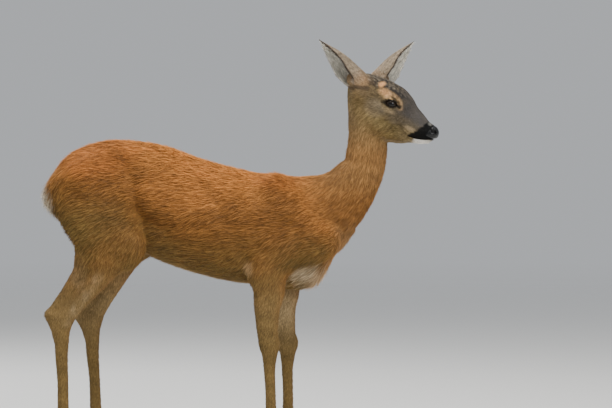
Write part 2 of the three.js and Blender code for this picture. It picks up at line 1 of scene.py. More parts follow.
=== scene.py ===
# %% [markdown]
# # A roe doe in her summer coat
# The solids of the part give the animal's size, stance and outline. Here she gets one skin without
# seams, a coat of small solid tufts that follow the lie of real hair, eyes with lids, a wet nose and
# horn hooves. Everything is in metres in the part's own frame. Her own shape is written in
# millimetres, as the part's source is, and turned to metres once.

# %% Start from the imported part
import bmesh
import bpy
import math
import numpy as np
import openvdb
from concurrent.futures import ThreadPoolExecutor
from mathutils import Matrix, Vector


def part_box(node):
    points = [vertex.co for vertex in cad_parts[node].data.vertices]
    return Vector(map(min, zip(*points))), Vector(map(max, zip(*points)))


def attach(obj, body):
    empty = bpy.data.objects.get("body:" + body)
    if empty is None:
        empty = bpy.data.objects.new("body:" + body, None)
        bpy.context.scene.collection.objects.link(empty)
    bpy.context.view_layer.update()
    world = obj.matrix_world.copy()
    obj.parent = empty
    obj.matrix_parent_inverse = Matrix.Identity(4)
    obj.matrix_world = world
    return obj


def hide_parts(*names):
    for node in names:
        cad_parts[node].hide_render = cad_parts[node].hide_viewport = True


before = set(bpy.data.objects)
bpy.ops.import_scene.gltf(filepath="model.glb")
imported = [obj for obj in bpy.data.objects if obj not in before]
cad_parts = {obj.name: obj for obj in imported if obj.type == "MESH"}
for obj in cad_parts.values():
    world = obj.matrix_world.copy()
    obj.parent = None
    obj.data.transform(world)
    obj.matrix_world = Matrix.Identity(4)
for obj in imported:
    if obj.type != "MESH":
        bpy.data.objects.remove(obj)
bpy.context.view_layer.update()
MM = 0.001

# %% [markdown]
# ## Camera
# A long lens from far away, almost level, looks straight at her right side, so that her near and far
# legs keep nearly the same size. The frame is 612 by 408 and one of its steps is 2.2 mm at her mid
# plane. Her feet stand below the frame. The lens and the step give the distance, so nothing is
# placed by eye.

# %% Camera
FRAME_WIDE = 612
FRAME_TALL = 408
STEP = 2.2 * MM
SIGHT_X = 0.1401
SIGHT_Z = (448 - FRAME_TALL / 2) * STEP
LENS = 260.0
SENSOR = 36.0
RISE = math.radians(2.0)


def make_camera():
    data = bpy.data.cameras.new("camera")
    data.lens = LENS
    data.sensor_width = SENSOR
    data.clip_end = 100
    camera = bpy.data.objects.new("camera", data)
    bpy.context.scene.collection.objects.link(camera)
    away = FRAME_WIDE * STEP * LENS / SENSOR
    target = Vector((SIGHT_X, 0, SIGHT_Z))
    camera.location = target + away * Vector((0, -math.cos(RISE), math.sin(RISE)))
    camera.rotation_euler = (math.pi / 2 - RISE, 0, 0)
    bpy.context.scene.camera = camera
    return away


print("camera stands", round(make_camera(), 2), "m away")

# %% [markdown]
# ## A small language for materials
# A finish is easier to read as arithmetic than as a web of wires. `Wire` wraps one socket and turns
# `a * b + 1` into Math nodes.

# %% Wires as numbers
class Wire:
    def __init__(self, finish, socket):
        self.finish = finish
        self.socket = socket

    def maths(self, operation, a, b=0.0):
        return self.finish.node("Math", {"operation": operation}, {0: a, 1: b})

    def __add__(self, other): return self.maths("ADD", self, other)
    def __radd__(self, other): return self.maths("ADD", other, self)
    def __sub__(self, other): return self.maths("SUBTRACT", self, other)
    def __rsub__(self, other): return self.maths("SUBTRACT", other, self)
    def __mul__(self, other): return self.maths("MULTIPLY", self, other)
    def __rmul__(self, other): return self.maths("MULTIPLY", other, self)


print("wires can be added, subtracted and multiplied")

# %% [markdown]
# ## One finish, one material
# `Finish` makes every other node from its type, its settings and the values of its sockets, and ends
# in one Principled shader. Each finish of the deer is one such object, so the recipes below stay a
# few lines long.

# %% Finishes as recipes
class Finish:
    def __init__(self, name):
        self.material = bpy.data.materials.new(name)
        self.material.use_nodes = True
        self.nodes = self.material.node_tree.nodes
        self.links = self.material.node_tree.links
        self.shader = self.nodes["Principled BSDF"]

    def feed(self, socket, value):
        if isinstance(value, Wire):
            self.links.new(value.socket, socket)
        else:
            socket.default_value = value

    def node(self, kind, settings=None, inputs=None, out=0):
        made = self.nodes.new("ShaderNode" + kind)
        for key, value in (settings or {}).items():
            if key == "stops":
                set_stops(made.color_ramp, value)
            else:
                setattr(made, key, value)
        for key, value in (inputs or {}).items():
            self.feed(made.inputs[key], value)
        return Wire(self, made.outputs[out])

    def mix(self, share, a, b, blend="MIX"):
        kind = {"data_type": "RGBA", "blend_type": blend}
        return self.node("Mix", kind, {0: share, 6: a, 7: b}, out=2)

    def noise(self, vector, scale, detail=3.0, roughness=0.55):
        sockets = {"Vector": vector, "Scale": scale, "Detail": detail, "Roughness": roughness}
        return self.node("TexNoise", {}, sockets)

    def place(self, stretch=(1, 1, 1)):
        where = self.node("TexCoord", out=3)
        return self.node("Mapping", {}, {"Vector": where, "Scale": stretch})

    def attribute(self, name, out=2):
        return self.node("Attribute", {"attribute_name": name}, out=out)

    def ramp(self, value, *stops):
        return self.node("ValToRGB", {"stops": stops}, {0: value})

    def bump(self, height, distance, strength):
        return self.node("Bump", {}, {"Height": height, "Distance": distance, "Strength": strength})

    def done(self, **sockets):
        for key, value in sockets.items():
            self.feed(self.shader.inputs[key.replace("_", " ")], value)
        return self.material


def set_stops(ramp, stops):
    while len(ramp.elements) < len(stops):
        ramp.elements.new(0.5)
    for element, (place, level) in zip(ramp.elements, stops):
        element.position = place
        element.color = (level, level, level, 1)


print("material helpers ready")

# %% [markdown]
# ## Floor and light
# A museum floor is pale and plain. The disc fades out towards its rim, so that no horizon line cuts
# behind her legs. A sky could light her, but area lamps are easier to steer: a broad
# one overhead gives the soft top light of an open field, and two weaker ones fill from the front and
# from behind.

# %% Floor and lights
FLOOR_RADIUS = 9.0


def make_floor():
    bpy.ops.mesh.primitive_circle_add(vertices=96, radius=FLOOR_RADIUS, fill_type="NGON")
    floor = bpy.context.object
    floor.name = "floor"
    finish = Finish("pale_floor")
    reach = finish.node("VectorMath", {"operation": "LENGTH"}, {0: finish.place()}, out=1)
    fade = finish.ramp(reach * (1 / FLOOR_RADIUS), (0.25, 1.0), (0.95, 0.0))
    grain = finish.noise(finish.place(), 60.0)
    floor.data.materials.append(finish.done(
        Base_Color=(0.74, 0.735, 0.715, 1), Roughness=grain * 0.1 + 0.6, Alpha=fade))


def make_lamp(name, place, size, power, colour=(1, 1, 1)):
    data = bpy.data.lights.new(name, "AREA")
    data.size = size
    data.energy = power
    data.color = colour
    lamp = bpy.data.objects.new(name, data)
    lamp.location = place
    lamp.rotation_euler = (Vector((0, 0, 0.45)) - Vector(place)).to_track_quat("-Z", "Y").to_euler()
    bpy.context.scene.collection.objects.link(lamp)


def make_light():
    world = bpy.data.worlds.new("studio")
    world.use_nodes = True
    world.node_tree.nodes["Background"].inputs["Color"].default_value = (0.93, 0.96, 1.0, 1)
    world.node_tree.nodes["Background"].inputs["Strength"].default_value = 0.5
    bpy.context.scene.world = world
    make_lamp("sky", (0.2, -0.9, 3.6), 2.4, 170, (1.0, 0.98, 0.94))
    make_lamp("front", (1.9, -3.0, 2.0), 1.3, 50)
    make_lamp("back", (-1.8, 2.4, 2.2), 2.0, 60)


make_floor()
make_light()
print("floor", 2 * FLOOR_RADIUS, "m across")

# %% [markdown]
# ## Her shape as one field
# Joining the solids would keep their facets and cuts. The flesh is instead described again as the
# part's source does it: chains of oval slices along the bones, each a smooth tube, melted together
# where they meet. The value of the field is about the distance to the surface, negative inside.

# %% Curves and chains
def catmull(points, share):
    """A centripetal Catmull-Rom curve through points, at shares from 0 to 1."""
    p = np.asarray(points, float)
    p = np.vstack([2 * p[0] - p[1], p, 2 * p[-1] - p[-2]])
    place = np.clip(np.asarray(share, float) * (len(p) - 3), 0, len(p) - 3 - 1e-9)
    k = place.astype(int)
    t = (place - k)[:, None]
    p0, p1, p2, p3 = p[k], p[k + 1], p[k + 2], p[k + 3]
    span = lambda a, b: np.maximum(np.sum((a - b) ** 2, 1)[:, None], 1e-8) ** 0.25
    d0, d1, d2 = span(p0, p1), span(p1, p2), span(p2, p3)
    m1 = ((p1 - p0) / d0 - (p2 - p0) / (d0 + d1) + (p2 - p1) / d1) * d1
    m2 = ((p2 - p1) / d1 - (p3 - p1) / (d1 + d2) + (p3 - p2) / d2) * d1
    return p1 + m1 * t + (3 * (p2 - p1) - 2 * m1 - m2) * t**2 + (2 * (p1 - p2) + m1 + m2) * t**3


FLESH = []
STEPS = 6


def chain(group, blend, stations, across=(0, 1, 0)):
    """stations: (centre, half size in the bone's upright plane, half size sideways)."""
    share = np.linspace(0, 1, (len(stations) - 1) * STEPS + 1)
    centre = catmull([s[0] for s in stations], share)
    size = catmull([(s[1], s[2], 0) for s in stations], share)[:, :2]
    FLESH.append({"group": group, "blend": blend, "centre": centre, "size": size,
                  "across": np.asarray(across, float)})


def at(x, y, z):
    return np.array([x, y, z], float)


def bone(start, length, pitch, out=0.0):
    fall = math.sqrt(length**2 - out**2)
    turn = math.radians(pitch)
    return start + at(math.sin(turn) * fall, np.sign(start[1]) * out, -math.cos(turn) * fall)


def beside(a, b, share, forward=0.0, out=0.0):
    way = (b - a) / np.linalg.norm(b - a)
    return a + (b - a) * share + at(-way[2] * forward, np.sign(a[1]) * out, way[0] * forward)


print("half way along a line of three points:", catmull([(0, 0, 0), (1, 0, 1), (2, 0, 0)], [0.5]))

# %% [markdown]
# ## Bones of the legs
# The bones fix the stance: the right hind leg is stretched back, the left one stands a step
# forward, and the fore feet stand almost together. Each bone has a length and a pitch, and the next
# one starts at its end, as in an armature. An armature itself isn't needed for one still pose.

# %% Leg bones
SIDES = {"right": -1, "left": 1}
HIND_POSE = {"right": (31, -44.5, 0.5), "left": (43, -34.5, 2.2)}
FORE_POSE = {"right": (at(172, -52, 458), -62, 4.5, 1.4), "left": (at(190, 52, 468), -54, 8.6, 0.3)}
FEMUR, TIBIA, HIND_CANNON = 186, 220, 222
HUMERUS, RADIUS_BONE, FORE_CANNON = 138, 162, 169
FETLOCK_HEIGHT = 58
PASTERN_REACH = 25
CORONET_HEIGHT = 26


def hind_leg(side, pose):
    hip = at(-332, side * 50, 596)
    stifle = bone(hip, FEMUR, pose[0], 15)
    hock = bone(stifle, TIBIA, pose[1], -9)
    fetlock = bone(hock, HIND_CANNON, pose[2], -4)
    fetlock[2] = FETLOCK_HEIGHT
    return {"side": side, "hip": hip, "stifle": stifle, "hock": hock, "fetlock": fetlock}


def fore_leg(side, pose):
    shoulder = pose[0]
    elbow = bone(shoulder, HUMERUS, pose[1], 8)
    knee = bone(elbow, RADIUS_BONE, pose[2], -8)
    fetlock = bone(knee, FORE_CANNON, pose[3], -2)
    fetlock[2] = FETLOCK_HEIGHT
    blade = at(76, side * 38, 562)
    return {"side": side, "blade": blade, "shoulder": shoulder, "elbow": elbow, "knee": knee,
            "fetlock": fetlock}


HIND = {name: hind_leg(side, HIND_POSE[name]) for name, side in SIDES.items()}
FORE = {name: fore_leg(side, FORE_POSE[name]) for name, side in SIDES.items()}
print("stifle", HIND["right"]["stifle"].round(1), "elbow", FORE["right"]["elbow"].round(1))

# %% [markdown]
# ## Trunk and neck
# The croup stands higher than the withers, as in every roe, and the belly is tucked up to the
# flank. Each slice has a height for the back, one for the belly and a half width. The half widths
# and the height above the ground follow the species' usual build.

# %% Trunk, neck and breastbone
CROUP_X, TRUNK_LENGTH = -352, 469
BARREL, RUMP = 98, 84
TRUNK = [(0.0, 642, 502, RUMP * 0.76), (0.063, 667, 488, RUMP * 0.9), (0.157, 680, 468, RUMP),
         (0.319, 673, 440, RUMP), (0.457, 650, 404, BARREL * 0.95), (0.612, 628, 379, BARREL),
         (0.78, 611, 361, BARREL * 0.88), (0.914, 606, 357, BARREL * 0.78),
         (1.0, 599, 377, BARREL * 0.64)]
NECK = [(at(187, 0, 520), 77, 58), (at(220, 0, 548), 67, 51), (at(247, 0, 580), 58, 45),
        (at(270, 0, 616), 48.5, 40), (at(277, 0, 656), 46.5, 38), (at(280, 0, 700), 44, 37),
        (at(286, 0, 738), 40, 37)]
chain("trunk", 22, [(at(CROUP_X + share * TRUNK_LENGTH, 0, (back + belly) / 2), (back - belly) / 2, half)
                    for share, back, belly, half in TRUNK])
chain("neck", 30, NECK)
chain("trunk", 22, [(at(60, 0, 394), 34, 38), (at(145, 0, 386), 32, 34), (at(166, 0, 422), 30, 36)])
print("trunk", len(TRUNK), "slices, neck", len(NECK))

# %% [markdown]
# ## Legs
# Thigh, ham, gaskin and heel cord at the back, shoulder, upper arm and forearm in front, then the
# thin cannons, fetlocks and pasterns. They could be sculpted. Placed as chains beside the bones,
# they stay right when a bone's pitch changes.

# %% Muscles of the legs
for leg in HIND.values():
    hip, stifle, hock, fetlock = leg["hip"], leg["stifle"], leg["hock"], leg["fetlock"]
    side = leg["side"]
    heel = beside(stifle, hock, 1.03, -29)
    chain("thigh", 20, [(hip + at(0, 0, -14), 60, 40), (beside(hip, stifle, 0.5, -12, 5), 72, 34),
                        (beside(hip, stifle, 0.95, -14, 2), 48, 29)])
    chain("thigh", 16, [(at(-378, side * 40, 562), 54, 33), (at(-357, side * 50, 526), 49, 34),
                        (at(-322, side * 63, 474), 50, 30), (at(-319, side * 64, 430), 46, 26)])
    chain("leg", 12, [(beside(stifle, hock, -0.02, -24), 42, 32), (beside(stifle, hock, 0.26, -20), 38, 29),
                      (beside(stifle, hock, 0.46, -13), 30, 23), (beside(stifle, hock, 0.62, -7), 23, 18.5),
                      (beside(stifle, hock, 0.82, -3), 19.5, 16), (beside(stifle, hock, 1.0, -1), 20.5, 17)])
    chain("leg", 14, [(beside(stifle, hock, 0.4, -55), 23, 14), (beside(stifle, hock, 0.6, -47), 17, 11),
                      (beside(stifle, hock, 0.8, -38), 15, 9), (heel, 13, 10)])
    chain("leg", 10, [(hock, 21, 17), (beside(hock, fetlock, 0.14, -1), 17, 14.5),
                      (beside(hock, fetlock, 0.32, -2), 14.5, 12), (beside(hock, fetlock, 0.6), 12.5, 11),
                      (beside(hock, fetlock, 0.86), 13, 11.5), (fetlock, 16, 15)])
    chain("leg", 12, [(heel, 10, 9.5), (beside(hock, fetlock, 0.15, -9), 8.5, 8.5)])
for leg in FORE.values():
    shoulder, elbow, knee, fetlock = leg["shoulder"], leg["elbow"], leg["knee"], leg["fetlock"]
    chain("shoulder", 24, [(leg["blade"], 34, 26), ((leg["blade"] + shoulder) / 2, 46, 33),
                           (shoulder, 40, 31)])
    chain("shoulder", 18, [(shoulder, 42, 31), (beside(shoulder, elbow, 0.55, -14, 3), 52, 29),
                           (elbow, 36, 26)])
    chain("shoulder", 14, [(elbow + at(-14, 0, 26), 17, 12), (elbow + at(-22, 0, 8), 13, 11)])
    chain("leg", 12, [(beside(elbow, knee, 0.02, 8), 42, 27), (beside(elbow, knee, 0.27, 9), 38, 24),
                      (beside(elbow, knee, 0.48, 2), 31, 22), (beside(elbow, knee, 0.7, -1), 26, 19),
                      (beside(elbow, knee, 0.86, -2), 23.5, 18), (knee, 21, 18)])
    chain("leg", 10, [(knee, 20.5, 18), (beside(knee, fetlock, 0.14), 17, 15.5),
                      (beside(knee, fetlock, 0.32, -1), 13, 12), (beside(knee, fetlock, 0.6), 11.8, 11),
                      (beside(knee, fetlock, 0.86), 12.5, 11.5), (fetlock, 15.5, 15)])
LEGS = {("hind", name): leg for name, leg in HIND.items()}
LEGS |= {("fore", name): leg for name, leg in FORE.items()}
for leg in LEGS.values():
    fetlock = leg["fetlock"]
    leg["foot"] = at(fetlock[0] + PASTERN_REACH, fetlock[1], 0)
    coronet = leg["foot"] + at(-4, 0, CORONET_HEIGHT)
    chain("leg", 8, [(fetlock, 15.5, 15), (fetlock + (coronet - fetlock) * 0.55, 13.5, 14.5),
                     (coronet, 17, 16.5)])
    chain("leg", 8, [(fetlock + at(-11, 0, -6), 8, 12), (fetlock + at(-5, 0, -18), 7, 11)])
print("chains of the body", len(FLESH))

# %% [markdown]
# ## Head
# The head has axes of its own: u forward along the muzzle, v up from it and w to her left. It is
# tipped down by 30 degrees and turned 17 degrees to her right. In its own axes it is symmetric, so
# one list makes both cheeks, brows and eye sockets.

# %% Head chains
HEAD_PITCH, HEAD_TURN = math.radians(30), math.radians(-17)
NAPE = at(244, 0, 755)
TURN_ABOUT = at(262, 0, 755)
PITCHED = np.array([[math.cos(HEAD_PITCH), math.sin(HEAD_PITCH), 0], [0, 0, 1],
                    [-math.sin(HEAD_PITCH), math.cos(HEAD_PITCH), 0]])
TURNED = np.array([[math.cos(HEAD_TURN), -math.sin(HEAD_TURN), 0],
                   [math.sin(HEAD_TURN), math.cos(HEAD_TURN), 0], [0, 0, 1]])
HEAD_AXES = TURNED @ PITCHED


def on_head(u, v, w=0.0):
    return TURNED @ (PITCHED @ at(u, v, w) + NAPE - TURN_ABOUT) + TURN_ABOUT


def head_way(u, v, w):
    way = HEAD_AXES @ at(u, v, w)
    return way / np.linalg.norm(way)


def to_head(p):
    """Places (n, 3) in the head's own axes."""
    return (p - on_head(0, 0, 0)) @ HEAD_AXES


def head_chain(blend, stations):
    placed = [(on_head(u, v, w), deep, wide) for u, v, w, deep, wide in stations]
    chain("head", blend, placed, head_way(0, 0, 1))


head_chain(16, [(14, 42, 0, 38, 37), (44, 46, 0, 42, 41), (72, 52, 0, 37, 39), (96, 52, 0, 29, 33)])
head_chain(14, [(88, 46, 0, 38, 34), (112, 39, 0, 36, 28), (140, 34, 0, 32, 22.5), (166, 33, 0, 24, 19),
                (187, 38, 0, 17, 17.5)])
head_chain(16, [(44, 2, 0, 27, 27), (76, -7, 0, 23, 25), (110, -11, 0, 17, 19.5), (132, -4, 0, 13, 16)])
head_chain(8, [(126, -6, 0, 13, 16), (152, 4, 0, 10, 14.5), (172, 12, 0, 9, 13), (186, 19, 0, 7.5, 11)])
head_chain(26, [(9, 36, 0, 26, 30), (20, 8, 0, 28, 29), (36, -12, 0, 27, 27)])
EYE = (85, 52, 34)
EYE_RADIUS = 14
for w in SIDES.values():
    head_chain(18, [(40, 14, 20 * w, 28, 16), (70, 12, 22 * w, 26, 15)])
    head_chain(14, [(60, 70, 30 * w, 12, 10), (82, 72, 31 * w, 11, 10), (100, 62, 27 * w, 8, 7)])
    head_chain(16, [(104, 38, 29 * w, 9, 7), (84, 32, 34 * w, 9, 7.5), (54, 34, 37 * w, 10, 7)])
    head_chain(9, [(82, 52, 33 * w, 15.6, 15.6), (89, 51, 32 * w, 15, 15)])
    head_chain(10, [(136, 27, 15 * w, 10, 8), (164, 28, 14 * w, 11, 7), (186, 33, 10 * w, 9, 7)])
EARS = {"right": (on_head(8, 57, -34), at(-0.69, -0.15, 0.7), at(-0.72, -0.62, -0.35)),
        "left": (on_head(12, 56, 34), at(0.64, 0.31, 0.69), at(0.74, -0.5, -0.4))}
for root, way, facing in EARS.values():
    chain("ear", 16, [(root + way * -10 + facing * 4, 26, 24), (root + way * 17 + facing * 5, 20, 20)])
print("chains", len(FLESH))

# %% [markdown]
# ## Measuring the field
# The field is measured on a grid that is fine round the head and coarser over the body. Each chain
# is measured only inside its own box, on several threads, and then melted in with a smooth minimum.

# %% Grid and field
COARSE, SIDEWAYS, FINE = 2.8, 1.7, 1.5
HEAD_FROM_X, HEAD_FROM_Z = 190, 640
GRID_X = np.concatenate([np.arange(-446, HEAD_FROM_X, COARSE), np.arange(HEAD_FROM_X, 452, FINE)])
GRID_Y = np.arange(-108, 108.1, SIDEWAYS)
GRID_Z = np.concatenate([np.arange(14, HEAD_FROM_Z, COARSE), np.arange(HEAD_FROM_Z, 908, FINE)])
GRID_X, GRID_Y, GRID_Z = (axis.astype(np.float32) for axis in (GRID_X, GRID_Y, GRID_Z))
FAR = 60.0
THREADS = 4


def slab(axis, low, high):
    return slice(int(np.searchsorted(axis, low)), int(np.searchsorted(axis, high)))


def axes_of(window):
    ix, iy, iz = window
    return GRID_X[ix, None, None], GRID_Y[None, iy, None], GRID_Z[None, None, iz]


def oval_value(x, y, z, a, b, size_a, size_b, across):
    """How far outside one stretch of a chain the places lie."""
    way = (b - a).astype(np.float32)
    dx, dy, dz = x - np.float32(a[0]), y - np.float32(a[1]), z - np.float32(a[2])
    t = np.clip((dx * way[0] + dy * way[1] + dz * way[2]) / np.float32(way @ way), 0, 1)
    dx, dy, dz = dx - t * way[0], dy - t * way[1], dz - t * way[2]
    deep = np.float32(size_a[0]) + t * np.float32(size_b[0] - size_a[0])
    wide = np.float32(size_a[1]) + t * np.float32(size_b[1] - size_a[1])
    ax, ay, az = across.astype(np.float32)
    side = (dx * ax + dy * ay + dz * az) ** 2
    rest = np.maximum(dx * dx + dy * dy + dz * dz - side, 0)
    return (np.sqrt(side / wide**2 + rest / deep**2) - 1) * np.minimum(deep, wide)


def stretch_value(c, k, x, y, z):
    centre, size = c["centre"], c["size"]
    return oval_value(x, y, z, centre[k], centre[k + 1], size[k], size[k + 1], c["across"])


def chain_window(c):
    room = c["size"].max() + c["blend"]
    low, high = c["centre"].min(0) - room, c["centre"].max(0) + room
    return slab(GRID_X, low[0], high[0]), slab(GRID_Y, low[1], high[1]), slab(GRID_Z, low[2], high[2])


def chain_block(c):
    window = chain_window(c)
    x, y, z = axes_of(window)
    block = np.full((x.shape[0], y.shape[1], z.shape[2]), FAR, np.float32)
    for k in range(len(c["centre"]) - 1):
        a, b = c["centre"][k], c["centre"][k + 1]
        reach = c["size"][k:k + 2].max() + c["blend"]
        low, high = np.minimum(a, b) - reach, np.maximum(a, b) + reach
        part = (slab(x[:, 0, 0], low[0], high[0]), slab(y[0, :, 0], low[1], high[1]),
                slab(z[0, 0, :], low[2], high[2]))
        value = stretch_value(c, k, x[part[0]], y[:, part[1]], z[:, :, part[2]])
        np.minimum(block[part], value, out=block[part])
    return window, block, c["blend"]


print("grid", len(GRID_X), "by", len(GRID_Y), "by", len(GRID_Z))

# %% [markdown]
# ## Melting the chains together
# A plain minimum of two fields leaves a crease where the muscles meet. A smooth minimum fills the
# crease over a chosen reach, each chain's own blend, so that a thigh flows into the trunk.

# %% Melt the chains
def smooth_min(a, b, k):
    h = np.maximum(k - np.abs(a - b), 0) / k
    return np.minimum(a, b) - h * h * k * 0.25


def smooth_max(a, b, k):
    return -smooth_min(-a, -b, k)


def measure_flesh():
    field = np.full((len(GRID_X), len(GRID_Y), len(GRID_Z)), FAR, np.float32)
    with ThreadPoolExecutor(THREADS) as pool:
        for window, block, blend in pool.map(chain_block, FLESH):
            field[window] = smooth_min(field[window], block, np.float32(blend))
    return field


field = measure_flesh()
print("field", field.shape, "inside share", round(float((field < 0).mean()), 4))

# %% [markdown]
# ## Tools for the fine forms
# Ears, lids, lips and folds could be sculpted or modelled as separate meshes, but their seams would
# show. They are worked into the same field instead, with soft steps, planes and distances to drawn
# lines, each only in a small window of the grid.

# %% Smooth steps and small shapes
def step(low, high, value):
    t = np.clip((value - low) / (high - low), 0, 1)
    return t * t * (3 - 2 * t)


def window_round(centre, reach):
    return tuple(slab(axis, middle - reach, middle + reach)
                 for axis, middle in zip((GRID_X, GRID_Y, GRID_Z), centre))


def places_in(window):
    x, y, z = np.broadcast_arrays(*axes_of(window))
    return np.stack([x, y, z], -1).reshape(-1, 3).astype(float), x.shape


def path_distance(p, path):
    """Distance from each place to an open path of points."""
    best = np.full(len(p), 1e6)
    for a, b in zip(path[:-1], path[1:]):
        way = b - a
        t = np.clip(((p - a) @ way) / (way @ way), 0, 1)
        best = np.minimum(best, np.linalg.norm(p - a - t[:, None] * way, axis=1))
    return best


def beyond(point, out, p):
    """How far places lie beyond a plane."""
    out = np.asarray(out, float)
    return (p - point) @ (out / np.linalg.norm(out))


print("a soft step from 0 to 1 passes", step(0, 1, 0.25), "at a quarter")

# %% [markdown]
# ## Depth of the coat
# The solids reach to the tips of the hair, so the skin has to lie deeper. The whole field sinks by
# the depth of the coat: most on the trunk, little on the shins and least on the face and ears.

# %% Depth of the coat
HEAD_BASE = on_head(-14, 20)
HEAD_BASE_OUT = head_way(-0.4, -0.92, 0)
BODY_COAT, SHORT_COAT = 3.6, 1.0


def coat_depth(x, y, z):
    out = HEAD_BASE_OUT
    into_head = -((x - HEAD_BASE[0]) * out[0] + (y - HEAD_BASE[1]) * out[1] + (z - HEAD_BASE[2]) * out[2])
    headness = step(-40, 25, into_head)
    legness = 1 - step(230, 420, z)
    return BODY_COAT - (BODY_COAT - SHORT_COAT) * np.maximum(headness, legness), headness


x, y, z = axes_of((slice(None), slice(None), slice(None)))
depth, headness = coat_depth(x, y, z)
ears_and_face = step(0.7, 1.0, headness)
field += (depth * (1 - 0.55 * ears_and_face)).astype(np.float32)
print("the coat is", round(float(depth.min()), 2), "to", round(float(depth.max()), 2), "mm deep")

# %% [markdown]
# ## Folds of the skin
# The flank folds in where the thigh meets the belly, and the skin dips before and behind the
# shoulder. Each fold is a line in the side view. The field is pressed in along it with a bell curve,
# on both sides of her but not across her back and belly.

# %% Folds of the skin
FOLDS = [([(-250, 628), (-232, 585), (-225, 530), (-205, 505), (-160, 487)], 17, 5.5),
         ([(-225, 530), (-206, 475)], 15, 3.0),
         ([(-60, 560), (-25, 500), (8, 440), (28, 400)], 16, 3.0),
         ([(150, 560), (120, 500), (128, 440), (118, 405)], 18, 2.5)]


def press_folds():
    for line, reach, deep in FOLDS:
        line = np.array(line, float)
        low, high = line.min(0) - 2 * reach, line.max(0) + 2 * reach
        window = (slab(GRID_X, low[0], high[0]), slice(None), slab(GRID_Z, low[1], high[1]))
        x, y, z = axes_of(window)
        flat_x, flat_z = np.broadcast_arrays(x[:, 0], z[0])
        away = path_distance(np.column_stack([flat_x.ravel(), flat_z.ravel()]).astype(float), line)
        dent = deep * np.exp(-(away / reach) ** 2).reshape(flat_x.shape)[:, None]
        field[window] += (dent * step(15, 45, np.abs(y))).astype(np.float32)


press_folds()
print("folds", len(FOLDS))

# %% [markdown]
# ## Ears
# A roe's ear is a long leaf rolled round its own length, open at the front. Its roll changes from
# root to tip in a short table of radius, half angle and bow. As part of the field it melts into the
# head with no edge at its root.

# %% Ears
EAR_LENGTH = 136
EAR_SKIN = 2.2
EAR_WINDOW = 92
EAR_BLEND = 7
EAR_ROLL = [(0.05, 19, 160, 5), (0.12, 22.5, 148, 6), (0.22, 24.8, 130, 5), (0.4, 25.6, 116, 3),
            (0.55, 22.4, 104, 3), (0.7, 17.1, 96, 2), (0.87, 9.1, 83, 0), (1.0, 1.6, 70, 0)]


def ear_axes(way, facing):
    z = way / np.linalg.norm(way)
    y = facing - (facing @ z) * z
    y /= np.linalg.norm(y)
    return np.stack([np.cross(y, z), y, z], 1)


def ear_section(q):
    """Share of the length, then radius and half angle of the roll, then each place's angle, distance
    and height from the roll's own axis."""
    run = np.linspace(0, 1, 60)
    roll = catmull(np.array([r[1:] for r in EAR_ROLL]), run)
    along = catmull(np.array([(r[0], 0, 0) for r in EAR_ROLL]), run)[:, 0]
    share = q[:, 2] / EAR_LENGTH
    radius, half, bow = (np.interp(share, along, roll[:, k]) for k in range(3))
    lift = q[:, 1] - (radius * 0.45 - bow)
    angle = np.arctan2(q[:, 0], -lift)
    return share, radius, np.radians(half), angle, np.hypot(q[:, 0], lift), lift


def leaf_middle(radius):
    return radius - 0.4 - EAR_SKIN / 2


def ear_value(q):
    share, radius, half, angle, rho, lift = ear_section(q)
    middle = leaf_middle(radius)
    edge = np.hypot(np.abs(q[:, 0]) - middle * np.sin(half), lift + middle * np.cos(half))
    thick = EAR_SKIN / 2 * np.clip(0.55 + radius / 24, 0, 1)
    sheet = np.where(np.abs(angle) < half, np.abs(rho - middle), edge)
    over = np.maximum(share - 1, 0.02 - share) * EAR_LENGTH
    return np.where(over > 0, np.hypot(sheet, over), sheet) - thick


for root, way, facing in EARS.values():
    axes = ear_axes(way, facing)
    window = window_round(root + axes[:, 2] * (EAR_LENGTH / 2), EAR_WINDOW)
    p, shape = places_in(window)
    leaf = ear_value((p - root) @ axes).reshape(shape).astype(np.float32)
    field[window] = smooth_min(field[window], leaf, np.float32(EAR_BLEND))
print("ears in")

# %% [markdown]
# ## Openings of the eyes
# The eye sits deep behind an almond slit whose front corner hangs lower. A thin roll round the slit
# makes the lids. Then the ball and the slit are cut out of the field, with a soft rim.

# %% Eyes: opening and lids
SLIT_LENGTH, SLIT_UPPER, SLIT_LOWER, SLIT_SLOPE = 27.4, 6.4, 5.0, math.radians(-12)
SLIT_SCALE, SLIT_REACH = 6.5, 9
LID_RADIUS = EYE_RADIUS + 0.9
LID_ROLL, LID_BLEND, LID_RIM = 1.5, 2.5, 1.0
BALL_GAP = 0.25
EYE_WINDOW = 26


def eye_axes(w):
    z = head_way(0.26, 0.12, w)
    y = head_way(math.sin(SLIT_SLOPE), 1, 0)
    x = np.cross(y, z)
    x /= np.linalg.norm(x)
    return np.stack([x, np.cross(z, x), z], 1) if w > 0 else np.stack([-x, np.cross(z, x), z], 1)


def almond():
    """The opening's outline, from the inner corner over the top, as (x, y) about the eye."""
    turn = np.linspace(0, 2 * np.pi, 49)
    x = np.cos(turn) * SLIT_LENGTH / 2
    rise = np.where(turn < np.pi, SLIT_UPPER, SLIT_LOWER)
    return np.stack([x, np.sin(turn) * rise * np.abs(np.sin(turn)) ** 0.25], 1)


def lid_path(w):
    line = almond()
    depth_in = np.sqrt(np.maximum(LID_RADIUS**2 - (line**2).sum(1), 16))
    local = np.column_stack([line, depth_in])
    return on_head(EYE[0], EYE[1], EYE[2] * w) + local @ eye_axes(w).T


